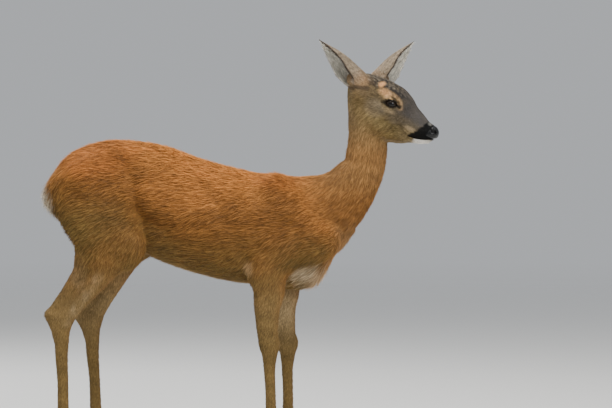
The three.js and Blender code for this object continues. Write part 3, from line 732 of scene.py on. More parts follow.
for w in SIDES.values():
    centre = on_head(EYE[0], EYE[1], EYE[2] * w)
    window = window_round(centre, EYE_WINDOW)
    p, shape = places_in(window)
    q = (p - centre) @ eye_axes(w)
    rise = np.where(q[:, 1] > 0, SLIT_UPPER, SLIT_LOWER)
    half = SLIT_LENGTH / 2
    opening = (np.sqrt((q[:, 0] / half) ** 2 + (q[:, 1] / rise) ** 2) - 1) * SLIT_SCALE
    opening = np.maximum(opening, -q[:, 2]).reshape(shape)
    ball = (np.linalg.norm(q, axis=1) - (EYE_RADIUS + BALL_GAP)).reshape(shape)
    lids = path_distance(p, lid_path(w)).reshape(shape) - LID_ROLL
    local = smooth_min(field[window], lids, LID_BLEND)
    local = np.maximum(local, -ball)
    field[window] = smooth_max(local, -np.minimum(opening, SLIT_REACH), LID_RIM)
print("openings", len(SIDES), "each", SLIT_LENGTH, "mm long")

# %% [markdown]
# ## Mouth and seat of the nose
# The closed mouth is a shallow groove along a drawn line. The field ends at two planes where the
# naked nose begins, because the nose is a piece of its own with another finish.

# %% Mouth and nose
MOUTH = [(148, 8.5), (158, 10.5), (168, 12.8), (182, 19), (196, 27.5), (206, 33)]
MOUTH_HALF, MOUTH_DEEP, MOUTH_SOFT = 0.9, 2.6, 1.4
MOUTH_WINDOW = 44
NOSE_SEAT = 1.5
NOSE_TOP = (on_head(184, 50), head_way(-1, 0.1, 0))
NOSE_UNDER = (on_head(190, 29), head_way(0.12, -1, 0))
window = window_round(on_head(176, 28), MOUTH_WINDOW)
p, shape = places_in(window)
q = to_head(p)
groove = path_distance(q[:, :2], np.array(MOUTH, float)) - MOUTH_HALF
near = field[window].reshape(-1)
groove = np.maximum(groove, -(near + MOUTH_DEEP))
near = smooth_max(near, -groove, MOUTH_SOFT)
nose_block = np.maximum(beyond(*NOSE_TOP, p), beyond(*NOSE_UNDER, p))
field[window] = np.maximum(near, -(nose_block + NOSE_SEAT)).reshape(shape)
print("mouth and seat of the nose in")

# %% [markdown]
# ## Ends at the hooves
# The skin stops at the coronet, a slanting plane just inside the top of each hoof.

# %% Ends at the hooves
CORONET_CUT, CORONET_SLANT = 24.5, 0.3
FOOT_LONG, FOOT_WIDE, FOOT_TALL = 46, 34, 60

for leg in LEGS.values():
    foot = leg["foot"]
    window = (slab(GRID_X, foot[0] - FOOT_LONG, foot[0] + FOOT_LONG),
              slab(GRID_Y, foot[1] - FOOT_WIDE, foot[1] + FOOT_WIDE), slab(GRID_Z, 0, FOOT_TALL))
    p, shape = places_in(window)
    below = beyond(at(foot[0], 0, CORONET_CUT), (CORONET_SLANT, 0, -1), p).reshape(shape)
    field[window] = np.maximum(field[window], below)
print("legs ended", len(LEGS), "at about", CORONET_CUT, "mm")

# %% [markdown]
# ## From field to skin
# The zero surface of the field is taken out as quads, which OpenVDB does faster than a remesh of
# joined solids. Its small steps are relaxed, and loose crumbs are dropped. The place of the packed
# part is read from the eye's own solid, so field and part share one frame.

# %% Surface helpers
FIELD_CLIP = 6.0
RELAX_PULL, RELAX_PUSH = 0.5, 0.52
corner_low, corner_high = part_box("eye_right")
SHIFT = np.array((corner_low + corner_high) / 2) / MM - on_head(EYE[0], EYE[1], -EYE[2])
print("shift", SHIFT.round(2))


def surface_of(values, axis_x, axis_y, axis_z):
    grid = openvdb.FloatGrid(FIELD_CLIP)
    grid.copyFromArray(np.ascontiguousarray(np.clip(values, -FIELD_CLIP, FIELD_CLIP)))
    points, _, quads = grid.convertToPolygons(0.0, 0.0)
    place = [np.interp(points[:, k], np.arange(len(axis)), axis)
             for k, axis in enumerate((axis_x, axis_y, axis_z))]
    return np.stack(place, 1), quads


def relax(places, quads, rounds):
    """Draws every vertex towards the middle of its neighbours, then back, so that nothing shrinks."""
    a = quads.ravel()
    b = np.roll(quads, -1, 1).ravel()
    count = np.bincount(a, minlength=len(places)) + np.bincount(b, minlength=len(places))
    for turn in range(rounds * 2):
        share = RELAX_PULL if turn % 2 == 0 else -RELAX_PUSH
        total = np.stack([np.bincount(a, places[b, k], len(places))
                          + np.bincount(b, places[a, k], len(places)) for k in range(3)], 1)
        places = places + (total / count[:, None] - places) * share
    return places


def mesh_piece(name, places, faces, smooth=True):
    mesh = bpy.data.meshes.new(name)
    mesh.from_pydata(places.tolist(), [], faces.tolist() if hasattr(faces, "tolist") else faces)
    mesh.validate()
    if smooth:
        mesh.shade_smooth()
    piece = bpy.data.objects.new(name, mesh)
    bpy.context.scene.collection.objects.link(piece)
    return piece


def largest_shell(places, quads):
    """Keeps the faces joined to the widest shell and drops crumbs."""
    label = np.arange(len(places))
    while True:
        low = label[quads].min(1)
        fresh = label.copy()
        np.minimum.at(fresh, quads.ravel(), np.repeat(low, quads.shape[1]))
        fresh = fresh[fresh]
        if (fresh == label).all():
            break
        label = fresh
    home = np.bincount(label[quads[:, 0]]).argmax()
    kept = quads[label[quads[:, 0]] == home]
    used = np.unique(kept)
    back = np.zeros(len(places), int)
    back[used] = np.arange(len(used))
    return places[used], back[kept]


# %% [markdown]
# ## The skin
# One skin without seams stands for all her flesh. Raw, it would be too heavy, so the Decimate
# modifier thins it and keeps more faces where the form turns, as at the lids and ears.

# %% Skin
SKIN_FACES = 188000


def make_skin():
    places, quads = surface_of(field, GRID_X, GRID_Y, GRID_Z)
    places, quads = largest_shell(places, quads)
    places = relax(places, quads, 2)
    skin = mesh_piece("skin", (places + SHIFT) * MM, quads)
    thin = skin.modifiers.new("thin", "DECIMATE")
    thin.ratio = min(1.0, SKIN_FACES / (2 * len(quads)))
    thinned = bpy.data.meshes.new_from_object(skin.evaluated_get(bpy.context.evaluated_depsgraph_get()))
    skin.modifiers.clear()
    skin.data = thinned
    return skin


skin = make_skin()
print("skin", len(skin.data.vertices), "points",
      sum(len(f.vertices) - 2 for f in skin.data.polygons), "triangles")

# %% [markdown]
# ## Eyes
# A roe's eye is a dark wet ball with a wide, level pupil. A plain sphere would do from afar. Here the
# rings are laid round the line of sight, so that the cornea can bulge a little, and the pupil is a
# stored attribute that lies along the opening.

# %% Eyes
EYE_ROWS, EYE_TURNS = 40, 56
CORNEA_RISE, CORNEA_REACH = 0.48, 0.45
PUPIL_LONG, PUPIL_TALL = 6.2, 3.0


def eye_finish():
    finish = Finish("eye_wet")
    face = finish.attribute("pupil")
    fibres = finish.noise(finish.place((900, 900, 900)), 1.0, 2.0)
    iris = finish.mix(fibres, (0.008, 0.005, 0.003, 1), (0.022, 0.012, 0.006, 1))
    colour = finish.mix(face, (0.002, 0.002, 0.002, 1), iris)
    return finish.done(Base_Color=colour, Roughness=0.08, Specular_IOR_Level=0.05, Coat_Weight=0.55,
                       Coat_Roughness=0.01)


def make_eye(name, w, material):
    rows, turns = EYE_ROWS, EYE_TURNS
    axes = eye_axes(w)
    centre = on_head(EYE[0], EYE[1], EYE[2] * w)
    fall, turn = np.meshgrid(np.linspace(0, np.pi, rows + 1)[1:-1], np.arange(turns) * 2 * np.pi / turns,
                             indexing="ij")
    radius = EYE_RADIUS + CORNEA_RISE * np.exp(-(fall / CORNEA_REACH) ** 2)
    ring = np.stack([np.sin(fall) * np.cos(turn), np.sin(fall) * np.sin(turn), np.cos(fall)], -1)
    ring = ring * radius[..., None]
    local = np.vstack([[[0, 0, EYE_RADIUS + CORNEA_RISE]], ring.reshape(-1, 3), [[0, 0, -EYE_RADIUS]]])
    at_row = lambda i, j: 1 + i * turns + j % turns
    faces = [(0, at_row(0, j), at_row(0, j + 1)) for j in range(turns)]
    faces += [(at_row(i, j), at_row(i + 1, j), at_row(i + 1, j + 1), at_row(i, j + 1))
              for i in range(rows - 2) for j in range(turns)]
    last = len(local) - 1
    faces += [(at_row(rows - 2, j + 1), at_row(rows - 2, j), last) for j in range(turns)]
    if np.linalg.det(axes) < 0:
        faces = [f[::-1] for f in faces]
    eye = mesh_piece(name, (centre + local @ axes.T + SHIFT) * MM, faces)
    pupil = np.hypot(local[:, 0] / PUPIL_LONG, local[:, 1] / PUPIL_TALL)
    store(eye, "pupil", step(0.9, 1.25, pupil) * step(-2, 1, local[:, 2]))
    eye.data.materials.append(material)
    return eye


def store(piece, name, values, kind="FLOAT"):
    made = piece.data.attributes.new(name, kind, "POINT")
    key = {"FLOAT": "value", "FLOAT_VECTOR": "vector", "FLOAT_COLOR": "color"}[kind]
    made.data.foreach_set(key, np.ascontiguousarray(values, dtype=np.float32).ravel())


wet_eye = eye_finish()
for name, w in SIDES.items():
    eye = make_eye("eyeball_" + name, w, wet_eye)
    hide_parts("eye_" + name)
    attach(eye, "root")
print("eyes made")

# %% [markdown]
# ## Nose
# The naked nose is pebbled leather with a comma-shaped nostril on each side and a furrow in the
# middle. A separate modelled nose would have to be fitted to the face. This one is the same muzzle
# surface, taken out again at a finer pitch and cut by the nose's own planes, so it fits by itself.

# %% Nose
NOSE_PITCH = 0.8
NOSE_HALF_BOX = 30
LIP_GROOVE = 0.7
NOSTRIL = [(190.5, 43.5, 15.5), (194.0, 45.5, 11.5), (197.0, 43.0, 8.5)]
NOSTRIL_HALF = 2.4
FLARE, FLARE_RADIUS = (188.5, 47.5, 13.5), 5.0
FURROW_FROM, FURROW_HALF, FURROW_DEEP = 40, 0.5, 1.0


def make_nose():
    centre = on_head(192, 42)
    axis = [np.arange(c - NOSE_HALF_BOX, c + NOSE_HALF_BOX, NOSE_PITCH) for c in centre]
    mesh_grid = np.meshgrid(*axis, indexing="ij")
    p = np.stack(mesh_grid, -1).reshape(-1, 3)
    value = np.full(len(p), FAR)
    for c in FLESH:
        if c["group"] == "head":
            best = np.full(len(p), FAR)
            for k in range(len(c["centre"]) - 1):
                best = np.minimum(best, stretch_value(c, k, p[:, 0], p[:, 1], p[:, 2]))
            value = smooth_min(value, best, c["blend"])
    q = to_head(p)
    groove = path_distance(q[:, :2], np.array(MOUTH, float)) - LIP_GROOVE
    value = smooth_max(value, -groove, 1.6)
    for w in SIDES.values():
        hole = path_distance(q * (1, 1, w), np.array(NOSTRIL, float)) - NOSTRIL_HALF
        flare = np.linalg.norm(q * (1, 1, w) - FLARE, axis=1) - FLARE_RADIUS
        value = smooth_min(value, flare, 3.0)
        value = smooth_max(value, -hole, 2.0)
    furrow = np.hypot(q[:, 2], np.maximum(0, q[:, 1] - FURROW_FROM)) - FURROW_HALF
    value = smooth_max(value, -np.maximum(furrow, -(value + FURROW_DEEP)), 1.2)
    block = np.maximum(beyond(*NOSE_TOP, p), beyond(*NOSE_UNDER, p)) - 0.4
    value = smooth_max(value + 0.3, block, 2.2)
    places, quads = surface_of(value.reshape(mesh_grid[0].shape), *axis)
    places, quads = largest_shell(places, quads)
    places = relax(places, quads, 1)
    return mesh_piece("nose_pad", (places + SHIFT) * MM, quads)


def nose_finish():
    finish = Finish("nose_leather")
    cells = finish.node("TexVoronoi", {"feature": "DISTANCE_TO_EDGE"},
                        {"Vector": finish.place(), "Scale": 620.0})
    pebbles = finish.ramp(cells, (0.0, 0.0), (0.28, 1.0))
    colour = finish.mix(pebbles, (0.002, 0.002, 0.002, 1), (0.006, 0.006, 0.007, 1))
    return finish.done(Base_Color=colour, Roughness=0.36 - 0.14 * pebbles, Specular_IOR_Level=0.12,
                       Coat_Weight=0.5, Coat_Roughness=0.08, Normal=finish.bump(pebbles, 0.0003, 0.6))


nose = make_nose()
nose.data.materials.append(nose_finish())
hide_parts("nose")
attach(nose, "root")
print("nose", len(nose.data.polygons), "faces")

# %% [markdown]
# ## Hooves
# Horn is dull black with faint rings that run round the hoof. Each toe is lofted from level rings
# between the sole and the slanting coronet. The rings keep the size of the toe's solid, with a round
# edge at the sole and a front wall that leans back.

# %% Hooves
TOE_LENGTH, TOE_HALF_WIDTH, TOE_RISE = 46, 8.6, 42
HOOF_TURNS = 32
CORONET_MIDDLE = 23.0
CLEFT_HALF = 0.9
HOOF_RINGS = [(0.0, 2.2), (0.0, 0.7), (0.035, 0.1), (0.15, 0.0), (0.4, 0.0), (0.7, 0.0), (0.93, 0.1),
              (1.0, 0.8)]


def hoof_finish():
    finish = Finish("hoof_horn")
    rings = finish.noise(finish.place((60, 60, 700)), 1.0, 2.0)
    grain = finish.noise(finish.place((260, 260, 90)), 1.0, 3.0)
    colour = finish.mix(rings * 0.6 + grain * 0.4, (0.012, 0.011, 0.010, 1), (0.055, 0.048, 0.042, 1))
    return finish.done(Base_Color=colour, Roughness=grain * 0.25 + 0.4,
                       Normal=finish.bump(rings, 0.0004, 0.7))


def hoof_ring(foot, inward, rise_share, inset):
    """One level line round a toe. rise_share goes from the sole, 0, to the coronet, 1."""
    turn = np.arange(HOOF_TURNS) * 2 * np.pi / HOOF_TURNS
    forward, aside = np.cos(turn), np.sin(turn)
    middle = foot[1] + inward * (TOE_HALF_WIDTH + CLEFT_HALF)
    z = np.full(HOOF_TURNS, rise_share * CORONET_MIDDLE)
    for _ in range(4):
        rise = z / TOE_RISE
        half = TOE_LENGTH / 2 * (1 - 0.24 * rise) - inset
        taper = 1 - 0.42 * np.maximum(0, forward) ** 1.5 - 0.1 * rise
        x = foot[0] + forward * half - 9 * rise - 5 * rise * np.maximum(0, forward)
        z = rise_share * (CORONET_MIDDLE + CORONET_SLANT * (x - foot[0]))
    wide = TOE_HALF_WIDTH - inset
    y = middle + aside * wide * taper - inward * TOE_HALF_WIDTH * (1 - taper) * 0.75
    return np.column_stack([x, y, z])


def make_hoof(name, foot, inward):
    rings = [hoof_ring(foot, inward, share, inset) for share, inset in HOOF_RINGS]
    local = np.vstack(rings + [rings[0].mean(0)[None], rings[-1].mean(0)[None]])
    spot = lambda i, j: i * HOOF_TURNS + j % HOOF_TURNS
    faces = [(spot(i, j), spot(i, j + 1), spot(i + 1, j + 1), spot(i + 1, j))
             for i in range(len(rings) - 1) for j in range(HOOF_TURNS)]
    sole, top = len(local) - 2, len(local) - 1
    faces += [(sole, spot(0, j + 1), spot(0, j)) for j in range(HOOF_TURNS)]
    faces += [(top, spot(len(rings) - 1, j), spot(len(rings) - 1, j + 1)) for j in range(HOOF_TURNS)]
    return mesh_piece(name, (local + SHIFT) * MM, faces)


horn = hoof_finish()
for (pair, name), leg in LEGS.items():
    for where, inward in (("inner", -leg["side"]), ("outer", leg["side"])):
        hoof = make_hoof(f"hoof_{pair}_{name}_{where}", leg["foot"], inward)
        hoof.data.materials.append(horn)
        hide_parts(f"{pair}_{name}_toe_{where}")
        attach(hoof, "root")
print("hooves finished")

# %% [markdown]
# ## Dewclaws
# The two small claws behind each fetlock are blunt drops of the same horn. The solid of each has the
# right place and size but flat faces, so a merged copy of it is rounded by two levels of subdivision.

# %% Dewclaws
CLAW_MERGE = 0.05 * MM
CLAW_LEVELS = 2


def make_dewclaw(name, node):
    mesh = node.data.copy()
    shape = bmesh.new()
    shape.from_mesh(mesh)
    bmesh.ops.remove_doubles(shape, verts=shape.verts, dist=CLAW_MERGE)
    shape.to_mesh(mesh)
    shape.free()
    mesh.materials.clear()
    claw = bpy.data.objects.new("rounded_" + name, mesh)
    bpy.context.scene.collection.objects.link(claw)
    rounding = claw.modifiers.new("rounding", "SUBSURF")
    rounding.levels = rounding.render_levels = CLAW_LEVELS
    rounded = bpy.data.meshes.new_from_object(claw.evaluated_get(bpy.context.evaluated_depsgraph_get()))
    claw.modifiers.clear()
    claw.data = rounded
    rounded.shade_smooth()
    rounded.materials.append(horn)
    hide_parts(name)
    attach(claw, "root")
    return len(rounded.polygons)


claws = {name: make_dewclaw(name, node) for name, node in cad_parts.items() if "dewclaw" in name}
print("dewclaws", len(claws), "with", sum(claws.values()), "faces")

# %% [markdown]
# ## What lies where
# Markings, length of hair and its lie all change from part to part of the body. For every point of
# the skin the nearness to each group of chains is measured, and turned into soft shares that add up
# to one, so that nothing changes with a step.

# %% Parts of the body at each point of the skin
GROUPS = ("trunk", "neck", "thigh", "shoulder", "leg", "head", "ear")
NOWHERE = 400.0
SOFTNESS = {"trunk": 14, "neck": 14, "thigh": 14, "shoulder": 14, "leg": 10, "head": 9, "ear": 4}


def flesh_value(p, group):
    value = np.full(len(p), NOWHERE)
    for c in FLESH:
        if c["group"] != group:
            continue
        reach = c["size"].max() + 40
        near = ((p > c["centre"].min(0) - reach) & (p < c["centre"].max(0) + reach)).all(1)
        q = p[near]
        for k in range(len(c["centre"]) - 1):
            value[near] = np.minimum(value[near], stretch_value(c, k, q[:, 0], q[:, 1], q[:, 2]))
    return value


def body_shares(p):
    values = {group: flesh_value(p, group) for group in GROUPS}
    for root, way, facing in EARS.values():
        q = (p - root) @ ear_axes(way, facing)
        near = (np.abs(q) < 160).all(1) & (q[:, 2] > -4)
        leaf = np.full(len(p), NOWHERE)
        leaf[near] = ear_value(q[near]) - 2.0 - 6 * step(20, 34, q[near, 2])
        values["ear"] = np.minimum(values["ear"] + 5, leaf)
    share = np.stack([np.exp(-np.clip((values[g] + 4) / SOFTNESS[g], -3, 25)) for g in GROUPS])
    share /= share.sum(0)
    return dict(zip(GROUPS, share))


def skin_places():
    mesh = skin.data
    places = np.empty(len(mesh.vertices) * 3)
    mesh.vertices.foreach_get("co", places)
    normals = np.empty(len(mesh.vertices) * 3, np.float32)
    mesh.vertex_normals.foreach_get("vector", normals)
    return places.reshape(-1, 3) / MM - SHIFT, normals.reshape(-1, 3).astype(float)


PLACES, NORMALS = skin_places()
SHARE = body_shares(PLACES)
HEAD_PLACES = to_head(PLACES)
print({group: round(float(share.mean()), 3) for group, share in SHARE.items()})

# %% [markdown]
# ## Ears, inside and out
# The inside of the ear is pale and woolly, the outside grey-brown, with a dark rim between them.
# Both need to know where they are on the leaf.

# %% Places on the ears
def ear_places():
    inside, rim, run, near_edge = np.zeros((4, len(PLACES)))
    for root, way, facing in EARS.values():
        q = (PLACES - root) @ ear_axes(way, facing)
        near = np.abs(ear_value(q)) < 5
        share, radius, half, angle, rho, _ = ear_section(q)
        middle = leaf_middle(radius)
        this_inside = step(0.2, -0.2, rho - middle) * step(0.1, 0.16, share)
        from_rim = (half - np.abs(angle)) * radius
        inside = np.where(near, this_inside, inside)
        facing_side = np.sign(-ear_axes(way, facing)[1, 0]) * q[:, 0]
        rim = np.where(near, step(3.4, 1.0, from_rim) * step(0.12, 0.22, share), rim)
        run = np.where(near, share, run)
        near_edge = np.where(near, step(-2, 2, facing_side) * step(16, 3, from_rim), near_edge)
    return inside, rim, run, near_edge


EAR_INSIDE, EAR_RIM, EAR_RUN, EAR_NEAR_EDGE = ear_places()
ON_EAR = SHARE["ear"]
print("points inside the ears", int((EAR_INSIDE > 0.5).sum()))

# %% [markdown]
# ## Lie of the coat
# Hair runs from the nose over the head, down the neck, back along the trunk and down the legs. It
# could be combed by hand. Here each part has its own direction, and they are mixed by the shares and
# laid flat on the skin, so that the lie turns smoothly from part to part.

# %% Lie of the coat
WAVES = 7


def mottle(p, size, seed):
    """Smooth noise between 0 and 1 from a few crossed waves."""
    rng = np.random.default_rng(seed)
    total = np.zeros(len(p))
    for _ in range(WAVES):
        way = rng.normal(size=3)
        wave = p @ (way / np.linalg.norm(way)) * (2 * np.pi / size) * rng.uniform(0.6, 1.6)
        total += np.sin(wave + rng.uniform(0, 6.3))
    return np.clip(0.5 + total / 6, 0, 1)


def flat(way, normals):
    way = way - (way * normals).sum(1)[:, None] * normals
    return way / np.maximum(np.linalg.norm(way, axis=1), 1e-6)[:, None]


def lie_of_coat():
    p, n, q = PLACES, NORMALS, HEAD_PLACES
    count = len(p)
    even = lambda x, y, z: np.tile(at(x, y, z), (count, 1))
    outward = np.sign(p[:, 1])[:, None] * at(0, 1, 0)
    rear = step(-340, -425, p[:, 0])[:, None]
    wave = (mottle(p, 80, 21)[:, None] - 0.5) * at(0, 0, 0.55)
    low = step(480, 400, p[:, 2])[:, None]
    trunk = even(-1, 0, -0.2) + wave + outward * 0.3 * step(0.3, 1, n[:, 2])[:, None]
    trunk = trunk * (1 - rear) + even(-0.2, 0, -1) * rear
    thigh = (even(-0.92, 0, -0.4) + wave + low * at(0.4, 0, -0.6)) * (1 - rear) + even(-0.1, 0, -1) * rear
    neck = even(-0.25, 0, -1) + even(-0.55, 0, 0.1) * step(620, 520, p[:, 2])[:, None]
    leg = even(-0.18, 0, -1)
    back_of_head = step(40, -10, q[:, 0])[:, None]
    cheek = step(40, 0, q[:, 1])[:, None]
    head = head_way(-1, 0.1, 0) + cheek * head_way(-0.3, -0.6, 0) + back_of_head * at(-0.2, 0, -0.7)
    ear = np.zeros((count, 3))
    for w, (_, way, _) in zip(SIDES.values(), EARS.values()):
        ear[np.sign(q[:, 2]) == w] = way
    shoulder = even(-0.9, 0, -0.35) + wave + low * at(0.3, 0, -0.5)
    ways = {"trunk": trunk, "neck": neck, "thigh": thigh, "shoulder": shoulder, "leg": leg, "head": head,
            "ear": ear}
    total = sum(SHARE[group][:, None] * way / np.linalg.norm(way, axis=1)[:, None]
                for group, way in ways.items())
    return flat(total, n)


LIE = lie_of_coat()
print("lie of the coat set")

# %% [markdown]
# ## Markings
# The colours are mixed point by point from soft regions: rusty back, duller flank and legs, pale
# breast, cream round the tail, grey face with a dark crown, tan brows, black lips and a white chin.
# Some light is painted in too: top and front light on the body, shade under it, in its hollows, under
# the jaw and in two creases, and highlights on the hind shin.
# Both the skin and the tufts read the result, so they can't disagree.

# %% Colours of the coat
RUST = (0.248, 0.103, 0.024)
# Orange of the back, also painted top light where the back faces up and painted light where the lower body
# faces forward.
ORANGE = (0.60, 0.225, 0.050)
CHESTNUT = (0.37, 0.122, 0.027)
# Dull brown of the flank, lower thigh and legs; under the trunk and the jaw it is painted shade.
DUN = (0.150, 0.097, 0.028)
FAWN = (0.225, 0.143, 0.054)
LEG_INNER = (0.50, 0.37, 0.20)
NECK_BROWN = (0.295, 0.150, 0.050)
NECK_GREY = (0.28, 0.190, 0.085)
CREAM = (0.74, 0.66, 0.52)
BUFF = (0.66, 0.49, 0.28)
FACE = (0.185, 0.135, 0.064)
CHEEK = (0.215, 0.160, 0.064)
CROWN = (0.022, 0.021, 0.023)
BRIDGE = (0.075, 0.067, 0.062)
BROW = (0.84, 0.52, 0.245)
SPOT = (0.80, 0.42, 0.17)
BLACK = (0.003, 0.003, 0.003)
WHITE = (0.78, 0.74, 0.67)
PALE_GREY = (0.34, 0.30, 0.24)
EAR_BACK = (0.37, 0.29, 0.20)
# Dark of the ear rim and its flecks, also painted shade in the crease under the ear.
DARK_RIM_AND_CREASE_SHADE = (0.045, 0.030, 0.024)
EAR_WOOL = (0.95, 0.92, 0.82)
# Dark brown of painted shade in the hollows of the coat and of the coat's own dark streaks.
HOLLOW_SHADE_AND_STREAK = (0.16, 0.062, 0.014)
PASTERN_DARK = (0.10, 0.075, 0.055)
print("colours named")

# %% [markdown]
# ## Lines of the markings
# Some marks are narrow and run along a form: painted shade in the hollows of the coat, a painted
# highlight down the hind shin, the brow, the lines at the eye, one of them painted shade in the crease
# above it, and the crease under the ear. Each is a short path in the side view of the body, or in the
# head's own axes.

# %% Lines of the markings
# Painted shade along the hollows of the coat: line in the side view, half width, strength.
PAINTED_HOLLOW_SHADES = [
    ([(-262, 650), (-244, 620), (-231, 585), (-218, 548)], 34, 0.3),
    ([(-224, 530), (-187, 511), (-156, 490)], 9, 0.55),
    ([(-110, 596), (-62, 582)], 12, 0.3),
    ([(60, 574), (96, 566), (128, 552)], 13, 0.35),
    ([(206, 590), (226, 560)], 16, 0.3),
]
# Painted highlight down the hind shin.
PAINTED_SHIN_HIGHLIGHT = [(-308, 386), (-352, 322), (-378, 282)]
BROW_ARC = [(80, 72), (92, 70.5), (103, 63), (109, 54)]
# Line of the crease under the ear, where shade is painted.
EAR_CREASE = [(27, 58), (7, 49), (-8, 36)]
LIP_TOP = [(147, 10), (157, 22.5), (163.5, 32), (167.5, 44), (172, 62)]
# Dark lines at the eye: the line in front, the line behind, and painted shade in the crease above it.
DARK_LINES = [([(93, 54.5), (101, 55.8), (108, 54)], 4.2, 2.0, 1.0),
              ([(75, 49.5), (68, 45.5)], 3.6, 1.6, 1.0),
              ([(83, 66.5), (94, 66), (102, 63), (106.5, 57)], 3.4, 1.2, 0.8)]


def tint(colour, share, other):
    return colour + np.clip(share, 0, 1)[:, None] * (np.array(other) - colour)


def patch(q, centre, size, soft=0.35):
    """A soft oval spot: 1 inside, 0 outside."""
    reach = np.sqrt((((q - np.array(centre)) / np.array(size)) ** 2).sum(1))
    return step(1 + soft, 1 - soft, reach)


print("dark hollows", len(PAINTED_HOLLOW_SHADES), "and dark lines of the face", len(DARK_LINES))

# %% [markdown]
# ## Body and legs
# The rusty back is painted orange where it faces up, as top light would brighten it, and so is the
# lower body where it faces forward. The flank and lower thigh are duller, the underside and the
# hollows get painted shade, and dark streaks break the coat. Painting by hand would give the same,
# but places and normals keep both sides equal and can be tuned by a number.

# %% Colours of the body and legs
def body_colour(p, n):
    x, y, z = p.T
    colour = np.tile(np.array(RUST), (len(p), 1))
    # Painted top light: orange where the surface faces up.
    colour = tint(colour, step(0.0, 0.95, n[:, 2]) * 0.8, ORANGE)
    colour = tint(colour, patch(p[:, [0, 2]], (-120, 570), (110, 45)) * 0.3, ORANGE)
    colour = tint(colour, step(-340, -410, x) * 0.35, DUN)
    colour = tint(colour, patch(p[:, [0, 2]], (-310, 650), (90, 50)) * 0.6, CHESTNUT)
    colour = tint(colour, patch(p[:, [0, 2]], (95, 600), (50, 30)) * 0.5, CHESTNUT)
    # Painted shade: dull brown low on the trunk where it faces down.
    low = step(510, 385, z) * step(0.5, -0.4, n[:, 2])
    colour = tint(colour, low * 0.85, DUN)
    # Painted light: orange where the lower body faces forward.
    colour = tint(colour, step(0.25, 0.85, n[:, 0]) * step(520, 420, z) * 0.4, ORANGE)
    colour = tint(colour, SHARE["thigh"] * step(600, 500, z) * 0.92, DUN)
    colour = tint(colour, SHARE["shoulder"] * step(520, 430, z) * 0.5, DUN)
    flank = patch(p[:, [0, 2]], (-205, 440), (85, 60))
    colour = tint(colour, flank * 0.42, DUN)
    belly = step(-0.55, -0.95, n[:, 2]) * step(120, 20, x) * step(20, 60, 62 - np.abs(y))
    colour = tint(colour, belly * 0.2, BUFF)
    profile = p[:, [0, 2]]
    # Painted shade along the hollows, broken by mottle.
    for line, half, share in PAINTED_HOLLOW_SHADES:
        near = step(half, half * 0.2, path_distance(profile, np.array(line, float)))
        colour = tint(colour, near * share * (0.6 + 0.8 * mottle(p, 30, 15)), HOLLOW_SHADE_AND_STREAK)
    streak = step(0.66, 0.86, mottle(p * (0.35, 1, 1.3) + (0, 0, 0.15) * p[:, [0]], 16, 11))
    return tint(colour, streak * 0.30, HOLLOW_SHADE_AND_STREAK)


def leg_colour(p, n):
    x, y, z = p.T
    colour = np.tile(np.array(FAWN), (len(p), 1))
    colour = tint(colour, step(320, 440, z) * 0.65, RUST)
    inner = step(0.15, 0.75, -n[:, 1] * np.sign(y))
    colour = tint(colour, inner * step(180, 330, z) * (0.2 + 0.55 * step(-60, 60, x)), LEG_INNER)
    colour = tint(colour, step(0.2, 0.9, n[:, 0]) * 0.22, RUST)
    # Painted highlights: a patch on the gaskin and a streak down the hind shin.
    colour = tint(colour, patch(p[:, [0, 2]], (-352, 400), (20, 42)) * 0.2, BUFF)
    shin = step(17, 3, path_distance(p[:, [0, 2]], np.array(PAINTED_SHIN_HIGHLIGHT, float)))
    colour = tint(colour, shin * (0.06 + 0.22 * mottle(p, 26, 16)), BUFF)
    colour = tint(colour, step(330, 210, z) * 0.45, DUN)
    return tint(colour, step(75, 30, z) * 0.45, PASTERN_DARK)


print("body and legs can be coloured")

# %% [markdown]
# ## Face
# The face has the most markings in the least room: a dark crown and bridge, tan brows with a
# small spot above and behind them, black lips and lids, and a white chin. They are placed in the head's
# own axes, side view first, with the distance from the middle where it matters.

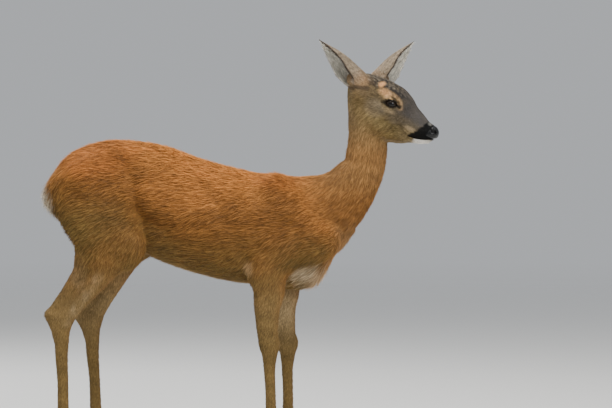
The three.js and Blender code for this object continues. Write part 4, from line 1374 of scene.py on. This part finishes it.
# %% Colours of the face
def head_colour(p, n, q):
    u, v, w = q.T
    aw = np.abs(w)
    side = np.column_stack([u, v])
    colour = np.tile(np.array(FACE), (len(p), 1))
    colour = tint(colour, patch(side, (80, -2), (48, 22)), CHEEK)
    colour = tint(colour, patch(side, (15, 22), (30, 26)) * 0.8, CHEEK)
    # Painted shade: dull brown towards the underside of the jaw.
    colour = tint(colour, step(4, -16, v) * step(40, 80, u) * 0.6, DUN)
    grizzle = mottle(p, 8, 3)
    colour = colour * ((0.50 + 1.0 * grizzle) * (0.75 + 0.5 * mottle(p, 4.5, 12)))[:, None]
    crown_edge, crown_middle = step(64, 72, v - 0.08 * (u - 60)), step(20, 10, aw) * step(60, 66, v)
    top = np.maximum(crown_edge, crown_middle) * step(126, 100, u)
    colour = tint(colour, top * (0.62 + 0.36 * step(0.70, 0.45, grizzle)), CROWN)
    colour = tint(colour, top * step(0.70, 0.86, grizzle) * 0.5, PALE_GREY)
    colour = tint(colour, step(70, 110, u) * step(14, 30, v) * (0.35 + 0.4 * grizzle), BRIDGE)
    bridge = step(98, 120, u) * step(32, 50, v + 0.10 * (u - 130))
    colour = tint(colour, bridge * (0.8 + 0.2 * grizzle), BRIDGE)
    colour = tint(colour, patch(side, (60, 28), (24, 18)) * 0.3, PALE_GREY)
    colour = tint(colour, patch(side, (40, 50), (26, 14)) * (0.2 + 0.4 * grizzle), CROWN)
    brow = step(7, 1, path_distance(side, np.array(BROW_ARC, float)))
    brow = np.maximum(brow * 0.7, patch(side, (70, 65.5), (19, 9.5), 0.5)) * step(8, 18, aw)
    colour = tint(colour, brow * (0.35 + 0.65 * grizzle), BROW)
    colour = tint(colour, brow * patch(side, (60, 69), (16, 8)) * 0.6, SPOT)
    colour = tint(colour, patch(np.column_stack([u, v, aw]), (47.6, 76.5, 27), (8, 8, 14), 0.25), SPOT)
    colour = tint(colour, patch(side, (89, 38), (15, 5)) * step(20, 30, aw) * 0.35, BUFF)
    colour = tint(colour, patch(side, (150, 24), (15, 5)) * 0.4, BUFF)
    colour = tint(colour, patch(side, (2, 64), (20, 12)) * step(14, 26, aw) * 0.42, SPOT)
    colour = tint(colour, step(34, 12, v) * step(159, 169, u) * step(18, 11, v - 0.9 * (u - 165)), WHITE)
    throat = step(-0.4, -0.9, n @ head_way(0, 1, 0)) * step(40, 80, u)
    colour = tint(colour, throat * 0.15, CREAM)
    return lips_and_lids(colour, q)


def lips_and_lids(colour, q):
    u, v, w = q.T
    side = np.column_stack([u, v])
    above = v - np.interp(u, [m[0] for m in MOUTH], [m[1] for m in MOUTH])
    lip_top = np.interp(u, [m[0] for m in LIP_TOP], [m[1] for m in LIP_TOP])
    band = step(147, 151, u) * step(-1.6, -0.4, above) * step(1.2, -1.0, v - lip_top)
    colour = tint(colour, band, BLACK)
    colour = tint(colour, patch(side, (177, 55), (5, 4)) * 0.18, WHITE)
    colour = tint(colour, step(2.2, 1.2, path_distance(side, np.array(MOUTH, float))), BLACK)
    colour = tint(colour, step(178, 186, u) * step(20, 30, v), BLACK)
    for w_side in SIDES.values():
        lid = path_distance(PLACES, lid_path(w_side))
        colour = tint(colour, step(4.8, 2.8, lid), BLACK)
    # The last of these lines is painted shade in the crease above the eye.
    for line, fade, full, share in DARK_LINES:
        near = step(fade, full, path_distance(side, np.array(line, float)))
        colour = tint(colour, near * step(14, 20, np.abs(w)) * share, BLACK)
    return colour


print("face can be coloured")

# %% [markdown]
# ## Neck, ears and the whole coat
# The neck greys towards the head, and the ears are pale wool inside with a dark rim. Then all parts
# are mixed by their shares, and the marks that cross parts are laid over them: the rump patch, the
# breast and painted shade in the crease under the ear.

# %% Colours of the neck, the ears and the whole
def neck_colour(p, n):
    z = p[:, 2]
    colour = np.tile(np.array(NECK_BROWN), (len(p), 1))
    colour = tint(colour, step(610, 540, z) * 0.75, RUST)
    colour = tint(colour, step(640, 740, z) * 0.85, NECK_GREY)
    breast = step(0.2, 0.9, n[:, 0]) * step(520, 430, z)
    return tint(colour, breast * 0.5, BUFF)


def ear_colour():
    wool, fleck = mottle(PLACES, 13, 8), mottle(PLACES, 5, 9)
    colour = np.tile(np.array(EAR_BACK), (len(PLACES), 1))
    colour = tint(colour, step(0.35, 0.85, fleck) * 0.55, DARK_RIM_AND_CREASE_SHADE)
    colour = tint(colour, step(0.30, 0.05, EAR_RUN) * 0.2, SPOT)
    inside = tint(np.tile(np.array(EAR_WOOL), (len(PLACES), 1)), step(0.5, 0.8, wool) * 0.3, FACE)
    inside = tint(inside, (1 - EAR_NEAR_EDGE) * step(0.95, 0.3, EAR_RUN) * 0.12, FACE)
    colour = colour + EAR_INSIDE[:, None] * (inside - colour)
    dark = EAR_RIM * step(0.05, 0.3, EAR_NEAR_EDGE)
    return tint(tint(colour, EAR_RIM * 0.25, PALE_GREY), dark * 0.95, DARK_RIM_AND_CREASE_SHADE)


def coat_colour():
    p, n, q = PLACES, NORMALS, HEAD_PLACES
    body, leg = body_colour(p, n), leg_colour(p, n)
    on_body = SHARE["trunk"] + SHARE["thigh"] + SHARE["shoulder"]
    total = on_body[:, None] * body + SHARE["leg"][:, None] * leg
    total += SHARE["neck"][:, None] * neck_colour(p, n) + SHARE["head"][:, None] * head_colour(p, n, q)
    total += ON_EAR[:, None] * ear_colour()
    # Painted shade in the crease under the ear.
    crease = path_distance(q[:, :2], np.array(EAR_CREASE, float))
    total = tint(total, step(6.5, 2, crease) * step(16, 26, np.abs(q[:, 2])) * 0.65, DARK_RIM_AND_CREASE_SHADE)
    x, y, z = p.T
    ragged = p + (mottle(p, 9, 6) - 0.5)[:, None] * (0, 26, 26)
    mirror = patch(ragged, (-440, 0, 550), (42, 64, 54), 0.3)
    total = tint(total, mirror * 0.92, CREAM)
    armpit = step(20, 8, np.abs(z - 402)) * step(14, 4, np.abs(x - 20)) * step(40, 60, np.abs(y))
    total = tint(total, armpit * 0.2, BUFF)
    breast = patch(p + (mottle(p, 10, 7) - 0.5)[:, None] * (24, 0, 16), (150, 0, 393), (38, 50, 27), 0.6)
    total = tint(tint(total, breast * 0.6, BUFF), breast * 0.24, CREAM)
    return total * (0.88 + 0.24 * mottle(p * (0.3, 1, 1.5), 40, 5))[:, None]


COLOUR = coat_colour()
print("mean colour", COLOUR.mean(0).round(3))

# %% [markdown]
# ## Length, width and number of the hairs
# Tufts are 19 mm long on the trunk and under 5 mm on the face. Their number goes up as they get
# smaller, so that they always overlap. Lids, lips and the rim of the nose stay bare.

# %% Growth of the coat
HAIR = {"trunk": (19.0, 1.4, 0.172), "neck": (13.5, 1.25, 0.22), "thigh": (17.0, 1.35, 0.175),
        "shoulder": (16.5, 1.35, 0.175), "leg": (7.0, 1.05, 0.25), "head": (4.4, 0.85, 0.60),
        "ear": (4.6, 0.85, 0.42)}


def growth():
    length, width, number = (sum(SHARE[g] * HAIR[g][k] for g in GROUPS) for k in range(3))
    u, v = HEAD_PLACES[:, :2].T
    z = PLACES[:, 2]
    muzzle = step(100, 160, u) * SHARE["head"]
    length *= 1 - 0.45 * muzzle
    width *= 1 - 0.2 * muzzle
    inside = EAR_INSIDE * ON_EAR
    length += inside * 5.0
    shin = step(230, 60, z)
    length *= 1 - 0.25 * shin
    rump = patch(PLACES, (-440, 0, 552), (42, 66, 56))
    length += rump * 11
    breast = patch(PLACES, (158, 0, 398), (40, 50, 34))
    length += breast * 7
    withers = patch(PLACES[:, [0, 2]], (92, 606), (14, 16))
    length += withers * 4
    tilt = 0.14 + 0.18 * rump + 0.10 * breast + 0.12 * inside + 0.06 * withers
    tilt += 0.05 * (SHARE["head"] + ON_EAR)
    bare = np.zeros(len(PLACES))
    for w_side in SIDES.values():
        bare = np.maximum(bare, step(3.2, 1.8, path_distance(PLACES, lid_path(w_side))))
        centre = on_head(EYE[0], EYE[1], EYE[2] * w_side)
        bare = np.maximum(bare, step(15.6, 14.9, np.linalg.norm(PLACES - centre, axis=1)))
    lips = path_distance(HEAD_PLACES[:, :2], np.array(MOUTH, float))
    bare = np.maximum(bare, step(2.2, 1.2, lips) * SHARE["head"])
    bare = np.maximum(bare, step(179, 184, u) * step(22, 27, v) * SHARE["head"])
    bare = np.maximum(bare, (z < 16) * 1.0)
    return length, width, tilt, number * (1 - bare) * (1 - 0.25 * inside)


LENGTH, WIDTH, TILT, NUMBER = growth()
print("longest tuft", round(float(LENGTH.max()), 1), "mm")

# %% [markdown]
# ## Patches of the coat
# The coat is made in patches, each with its own number, so that no piece gets too heavy. A face
# belongs to the patch of the part that it lies on.

# %% Patches
PATCHES = ("coat_rump", "coat_barrel", "coat_shoulder", "coat_neck", "coat_hind_legs", "coat_fore_legs",
           "coat_face_right", "coat_face_left", "coat_ears")


def patch_of_faces():
    mesh = skin.data
    corners = np.empty(len(mesh.loops), np.int32)
    mesh.loops.foreach_get("vertex_index", corners)
    starts = np.empty(len(mesh.polygons), np.int32)
    mesh.polygons.foreach_get("loop_start", starts)
    first = corners[starts]
    p, q = PLACES[first], HEAD_PLACES[first]
    share = np.stack([SHARE[g][first] for g in GROUPS])
    main = np.array(GROUPS)[share.argmax(0)]
    number = np.where(p[:, 0] < -245, 0, np.where(p[:, 0] < -40, 1, 2))
    number = np.where(main == "neck", 3, number)
    number = np.where(main == "leg", np.where(p[:, 0] < -120, 4, 5), number)
    number = np.where(main == "head", np.where(q[:, 2] < 0, 6, 7), number)
    number = np.where(main == "ear", 8, number)
    return number


def dress_skin():
    store(skin, "coat", np.column_stack([COLOUR, np.ones(len(COLOUR))]), "FLOAT_COLOR")
    store(skin, "lie", LIE, "FLOAT_VECTOR")
    store(skin, "up", NORMALS, "FLOAT_VECTOR")
    store(skin, "size", np.column_stack([LENGTH, WIDTH, WIDTH * 0.45]) * MM, "FLOAT_VECTOR")
    store(skin, "tilt", TILT)
    store(skin, "number", NUMBER / MM**2)
    store(skin, "upright", np.clip(SHARE["leg"] + SHARE["neck"] * 0.9, 0, 1))
    made = skin.data.attributes.new("patch", "INT", "FACE")
    made.data.foreach_set("value", patch_of_faces().astype(np.int32))


dress_skin()
print("patches", len(PATCHES))

# %% [markdown]
# ## Unwrap of the skin
# Every tuft keeps the place of its root on this unwrap, so its colours can be baked to a small patch
# of its own.

# %% Unwrap
UNWRAP_ANGLE, UNWRAP_GAP = math.radians(66), 0.002


def unwrap_skin():
    for piece in bpy.context.selected_objects:
        piece.select_set(False)
    skin.data.uv_layers.new(name="unwrap")
    skin.select_set(True)
    bpy.context.view_layer.objects.active = skin
    bpy.ops.object.mode_set(mode="EDIT")
    bpy.ops.mesh.select_all(action="SELECT")
    bpy.ops.uv.smart_project(angle_limit=UNWRAP_ANGLE, island_margin=UNWRAP_GAP)
    bpy.ops.object.mode_set(mode="OBJECT")


unwrap_skin()
print("skin unwrapped")

# %% [markdown]
# ## One tuft
# A tuft is a flat spindle with a raised ridge: a root sunk in the skin, three points at its widest
# and a tip that bends back down. Hair curves would be finer, but only solid mesh can be exported. Six
# faces are enough for each, since there are so many.

# %% Tuft
TUFT_PLACES = [(-0.04, 0, -0.25), (0.42, -0.5, 0.0), (0.36, 0, 0.62), (0.42, 0.5, 0.0), (1, 0, -0.35)]
TUFT_FACES = [(0, 2, 1), (0, 3, 2), (0, 1, 3), (4, 1, 2), (4, 2, 3), (4, 3, 1)]
TUFT_RUN = [0, 0.42, 0.36, 0.42, 1]
TUFT_SPOTS = [(-0.5, 0, 0), (0, -0.5, 0), (0, 0.1, 0), (0, 0.5, 0), (0.5, 0, 0)]


def make_tuft():
    tuft = mesh_piece("tuft", np.array(TUFT_PLACES, float), TUFT_FACES, smooth=False)
    store(tuft, "run", TUFT_RUN)
    store(tuft, "spot", TUFT_SPOTS, "FLOAT_VECTOR")
    return tuft


print("a tuft has", len(TUFT_FACES), "faces")


# %% [markdown]
# ## A helper for node trees
# A Geometry Nodes tree can be drawn in the editor, but a script can be read and repeated. `Tree`
# makes a tree with named inputs, and each node from its type, its settings and the values or links
# of its sockets, as `Finish` does for materials.

# %% Node tree helper
class Tree:
    def __init__(self, name, inputs):
        self.tree = bpy.data.node_groups.new(name, "GeometryNodeTree")
        face = self.tree.interface
        face.new_socket("Geometry", in_out="INPUT", socket_type="NodeSocketGeometry")
        for key, (kind, value) in inputs.items():
            face.new_socket(key, in_out="INPUT", socket_type=kind).default_value = value
        face.new_socket("Geometry", in_out="OUTPUT", socket_type="NodeSocketGeometry")
        self.source = self.tree.nodes.new("NodeGroupInput")
        self.sink = self.tree.nodes.new("NodeGroupOutput")

    def given(self, name):
        return self.source.outputs[name]

    def node(self, kind, settings=None, inputs=None, out=0):
        made = self.tree.nodes.new(kind)
        for key, value in (settings or {}).items():
            setattr(made, key, value)
        for key, value in (inputs or {}).items():
            if isinstance(value, bpy.types.NodeSocket):
                self.tree.links.new(value, made.inputs[key])
            else:
                made.inputs[key].default_value = value
        return made.outputs[out]

    def read(self, name, kind="FLOAT"):
        return self.node("GeometryNodeInputNamedAttribute", {"data_type": kind}, {"Name": name})

    def maths(self, operation, a, b=0.0):
        return self.node("ShaderNodeMath", {"operation": operation}, {0: a, 1: b})

    def vector(self, operation, a, b=None, scale=None):
        inputs = {0: a}
        if b is not None:
            inputs[1] = b
        if scale is not None:
            inputs["Scale"] = scale
        return self.node("ShaderNodeVectorMath", {"operation": operation}, inputs)

    def chance(self, low, high, seed, kind="FLOAT"):
        output = {"FLOAT": 1, "FLOAT_VECTOR": 0}[kind]
        ends = {"FLOAT": (2, 3), "FLOAT_VECTOR": (0, 1)}[kind]
        return self.node("FunctionNodeRandomValue", {"data_type": kind},
                         {ends[0]: low, ends[1]: high, "Seed": seed}, out=output)

    def keep(self, geometry, name, value, kind="FLOAT", domain="POINT"):
        settings = {"data_type": kind, "domain": domain}
        return self.node("GeometryNodeStoreNamedAttribute", settings,
                         {"Geometry": geometry, "Name": name, "Value": value})


print("node tree helper ready")

# %% [markdown]
# ## Growing the tufts
# One node tree grows every patch. Points are scattered by the stored number per area, a tuft stands
# on each, turned to the lie, tilted up by a few degrees and scaled, all with a little chance. The
# instances are realized, because only real mesh is exported, and each tuft's corners get their own
# small patch in the map named OFBake.

# %% Node tree of the coat
BAKE_PATCH = 0.003


def coat_tree():
    tree = Tree("grow_coat", {
        "Patch": ("NodeSocketInt", 0), "Density": ("NodeSocketFloat", 1.0), "Seed": ("NodeSocketInt", 1),
        "Sway": ("NodeSocketFloat", 0.16), "Tuft": ("NodeSocketObject", None),
        "Material": ("NodeSocketMaterial", None)})
    same = tree.node("FunctionNodeCompare", {"data_type": "INT", "operation": "EQUAL"},
                     {2: tree.read("patch", "INT"), 3: tree.given("Patch")})
    number = tree.maths("MULTIPLY", tree.read("number"), tree.given("Density"))
    points = tree.node("GeometryNodeDistributePointsOnFaces", {"distribute_method": "RANDOM"},
                       {"Mesh": tree.given("Geometry"), "Selection": same, "Density": number,
                        "Seed": tree.given("Seed")})
    up = tree.read("up", "FLOAT_VECTOR")
    sway = tree.chance((-1, -1, -1), (1, 1, 1), 11, "FLOAT_VECTOR")
    sway = tree.vector("SCALE", sway, scale=tree.given("Sway"))
    lie = tree.vector("NORMALIZE", tree.vector("ADD", tree.read("lie", "FLOAT_VECTOR"), sway))
    tilt = tree.maths("MULTIPLY", tree.read("tilt"), tree.chance(0.55, 1.35, 12))
    rise = tree.vector("SCALE", up, scale=tilt)
    way = tree.vector("ADD", lie, rise)
    turn = tree.node("FunctionNodeAxesToRotation", {"primary_axis": "X", "secondary_axis": "Z"},
                     {"Primary Axis": way, "Secondary Axis": up})
    size = tree.vector("SCALE", tree.read("size", "FLOAT_VECTOR"), scale=tree.chance(0.7, 1.3, 13))
    points = tree.keep(points, "shade", tree.chance(0.0, 1.0, 14))
    tuft_mesh = tree.node("GeometryNodeObjectInfo", {}, {"Object": tree.given("Tuft")}, out=4)
    grown = tree.node("GeometryNodeInstanceOnPoints", {}, {
        "Points": points, "Instance": tuft_mesh, "Rotation": turn, "Scale": size})
    real = tree.node("GeometryNodeRealizeInstances", {}, {"Geometry": grown})
    spot = tree.vector("SCALE", tree.read("spot", "FLOAT_VECTOR"), scale=BAKE_PATCH)
    where = tree.vector("ADD", tree.read("unwrap", "FLOAT_VECTOR"), spot)
    real = tree.keep(real, "OFBake", where, "FLOAT2", "CORNER")
    for name in ("unwrap", "spot", "lie", "up", "size", "tilt", "number", "patch", "upright"):
        real = tree.node("GeometryNodeRemoveAttribute", {}, {"Geometry": real, "Name": name})
    done = tree.node("GeometryNodeSetMaterial", {}, {"Geometry": real, "Material": tree.given("Material")})
    tree.tree.links.new(done, tree.sink.inputs["Geometry"])
    return tree.tree


print("each tuft bakes to", BAKE_PATCH, "of the map")

# %% [markdown]
# ## Finish of skin and coat
# The skin shows between the tufts, so it has the same colours, a little darker, with fine streaks
# that follow the hair and give the short-haired parts their nap. Tufts are darker at the root and
# lighter at the tip, and no two neighbours are quite alike.

# %% Finishes of skin and coat
def skin_finish():
    finish = Finish("coat_skin")
    coat = finish.attribute("coat", out=0)
    upright = finish.attribute("upright")
    along = finish.noise(finish.place((140, 900, 620)), 1.0, 3.0)
    down = finish.noise(finish.place((900, 900, 150)), 1.0, 3.0)
    streak = along + (down - along) * upright
    level = streak * 0.7 + 0.42
    shade = finish.node("CombineColor", {}, {0: level, 1: level, 2: level})
    colour = finish.mix(1.0, coat, shade, "MULTIPLY")
    nap = finish.bump(streak, 0.0012, 0.8)
    return finish.done(Base_Color=colour, Roughness=streak * 0.15 + 0.72, Specular_IOR_Level=0.12, Normal=nap)


def tuft_finish(name):
    finish = Finish(name)
    coat = finish.attribute("coat", out=0)
    run = finish.attribute("run")
    shade = finish.attribute("shade")
    level = (shade * 0.85 + 0.50) * (run * 0.42 + 0.80)
    grey = finish.node("CombineColor", {}, {0: level, 1: level, 2: level})
    colour = finish.mix(1.0, coat, grey, "MULTIPLY")
    return finish.done(Base_Color=colour, Roughness=shade * 0.12 + 0.58, Specular_IOR_Level=0.15)


skin.data.materials.clear()
skin.data.materials.append(skin_finish())
print("skin finish", skin.data.materials[0].name)

# %% [markdown]
# ## The coat, patch by patch
# Each patch is grown from the same skin with the same tree, and only the patch number and the seed
# differ. The result is turned into a plain mesh, and the modifier is removed from the skin.

# %% Grow the coat
COAT_DENSITY = 1.0
FIRST_SEED = 20


def grow(name, number, tree, tuft, material):
    modifier = skin.modifiers.new("grow", "NODES")
    modifier.node_group = tree
    sockets = {item.name: item.identifier for item in tree.interface.items_tree if item.in_out == "INPUT"}
    values = {"Patch": number, "Density": COAT_DENSITY, "Seed": FIRST_SEED + number, "Tuft": tuft,
              "Material": material}
    for key, value in values.items():
        modifier[sockets[key]] = value
    shown = skin.evaluated_get(bpy.context.evaluated_depsgraph_get())
    mesh = bpy.data.meshes.new_from_object(shown)
    skin.modifiers.remove(modifier)
    mesh.materials.clear()
    mesh.materials.append(material)
    mesh.name = name
    piece = bpy.data.objects.new(name, mesh)
    bpy.context.scene.collection.objects.link(piece)
    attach(piece, "root")
    return len(mesh.polygons)


def grow_coat():
    tuft = make_tuft()
    tree = coat_tree()
    material = tuft_finish("coat_tufts")
    faces = {name: grow(name, number, tree, tuft, material) for number, name in enumerate(PATCHES)}
    bpy.data.objects.remove(tuft)
    return faces


grown = grow_coat()
print(grown, "in all", sum(grown.values()))

# %% [markdown]
# ## Join it to the part
# The skin stands for every solid of flesh. All pieces ride on the one body, because a still model
# has no joints.

# %% Finish
FLESH_NODES = [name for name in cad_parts
               if not any(word in name for word in ("toe", "dewclaw", "eye", "nose"))]
for name in ("size", "tilt", "number", "lie", "up", "patch"):
    skin.data.attributes.remove(skin.data.attributes[name])
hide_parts(*FLESH_NODES)
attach(skin, "root")
bpy.context.view_layer.update()
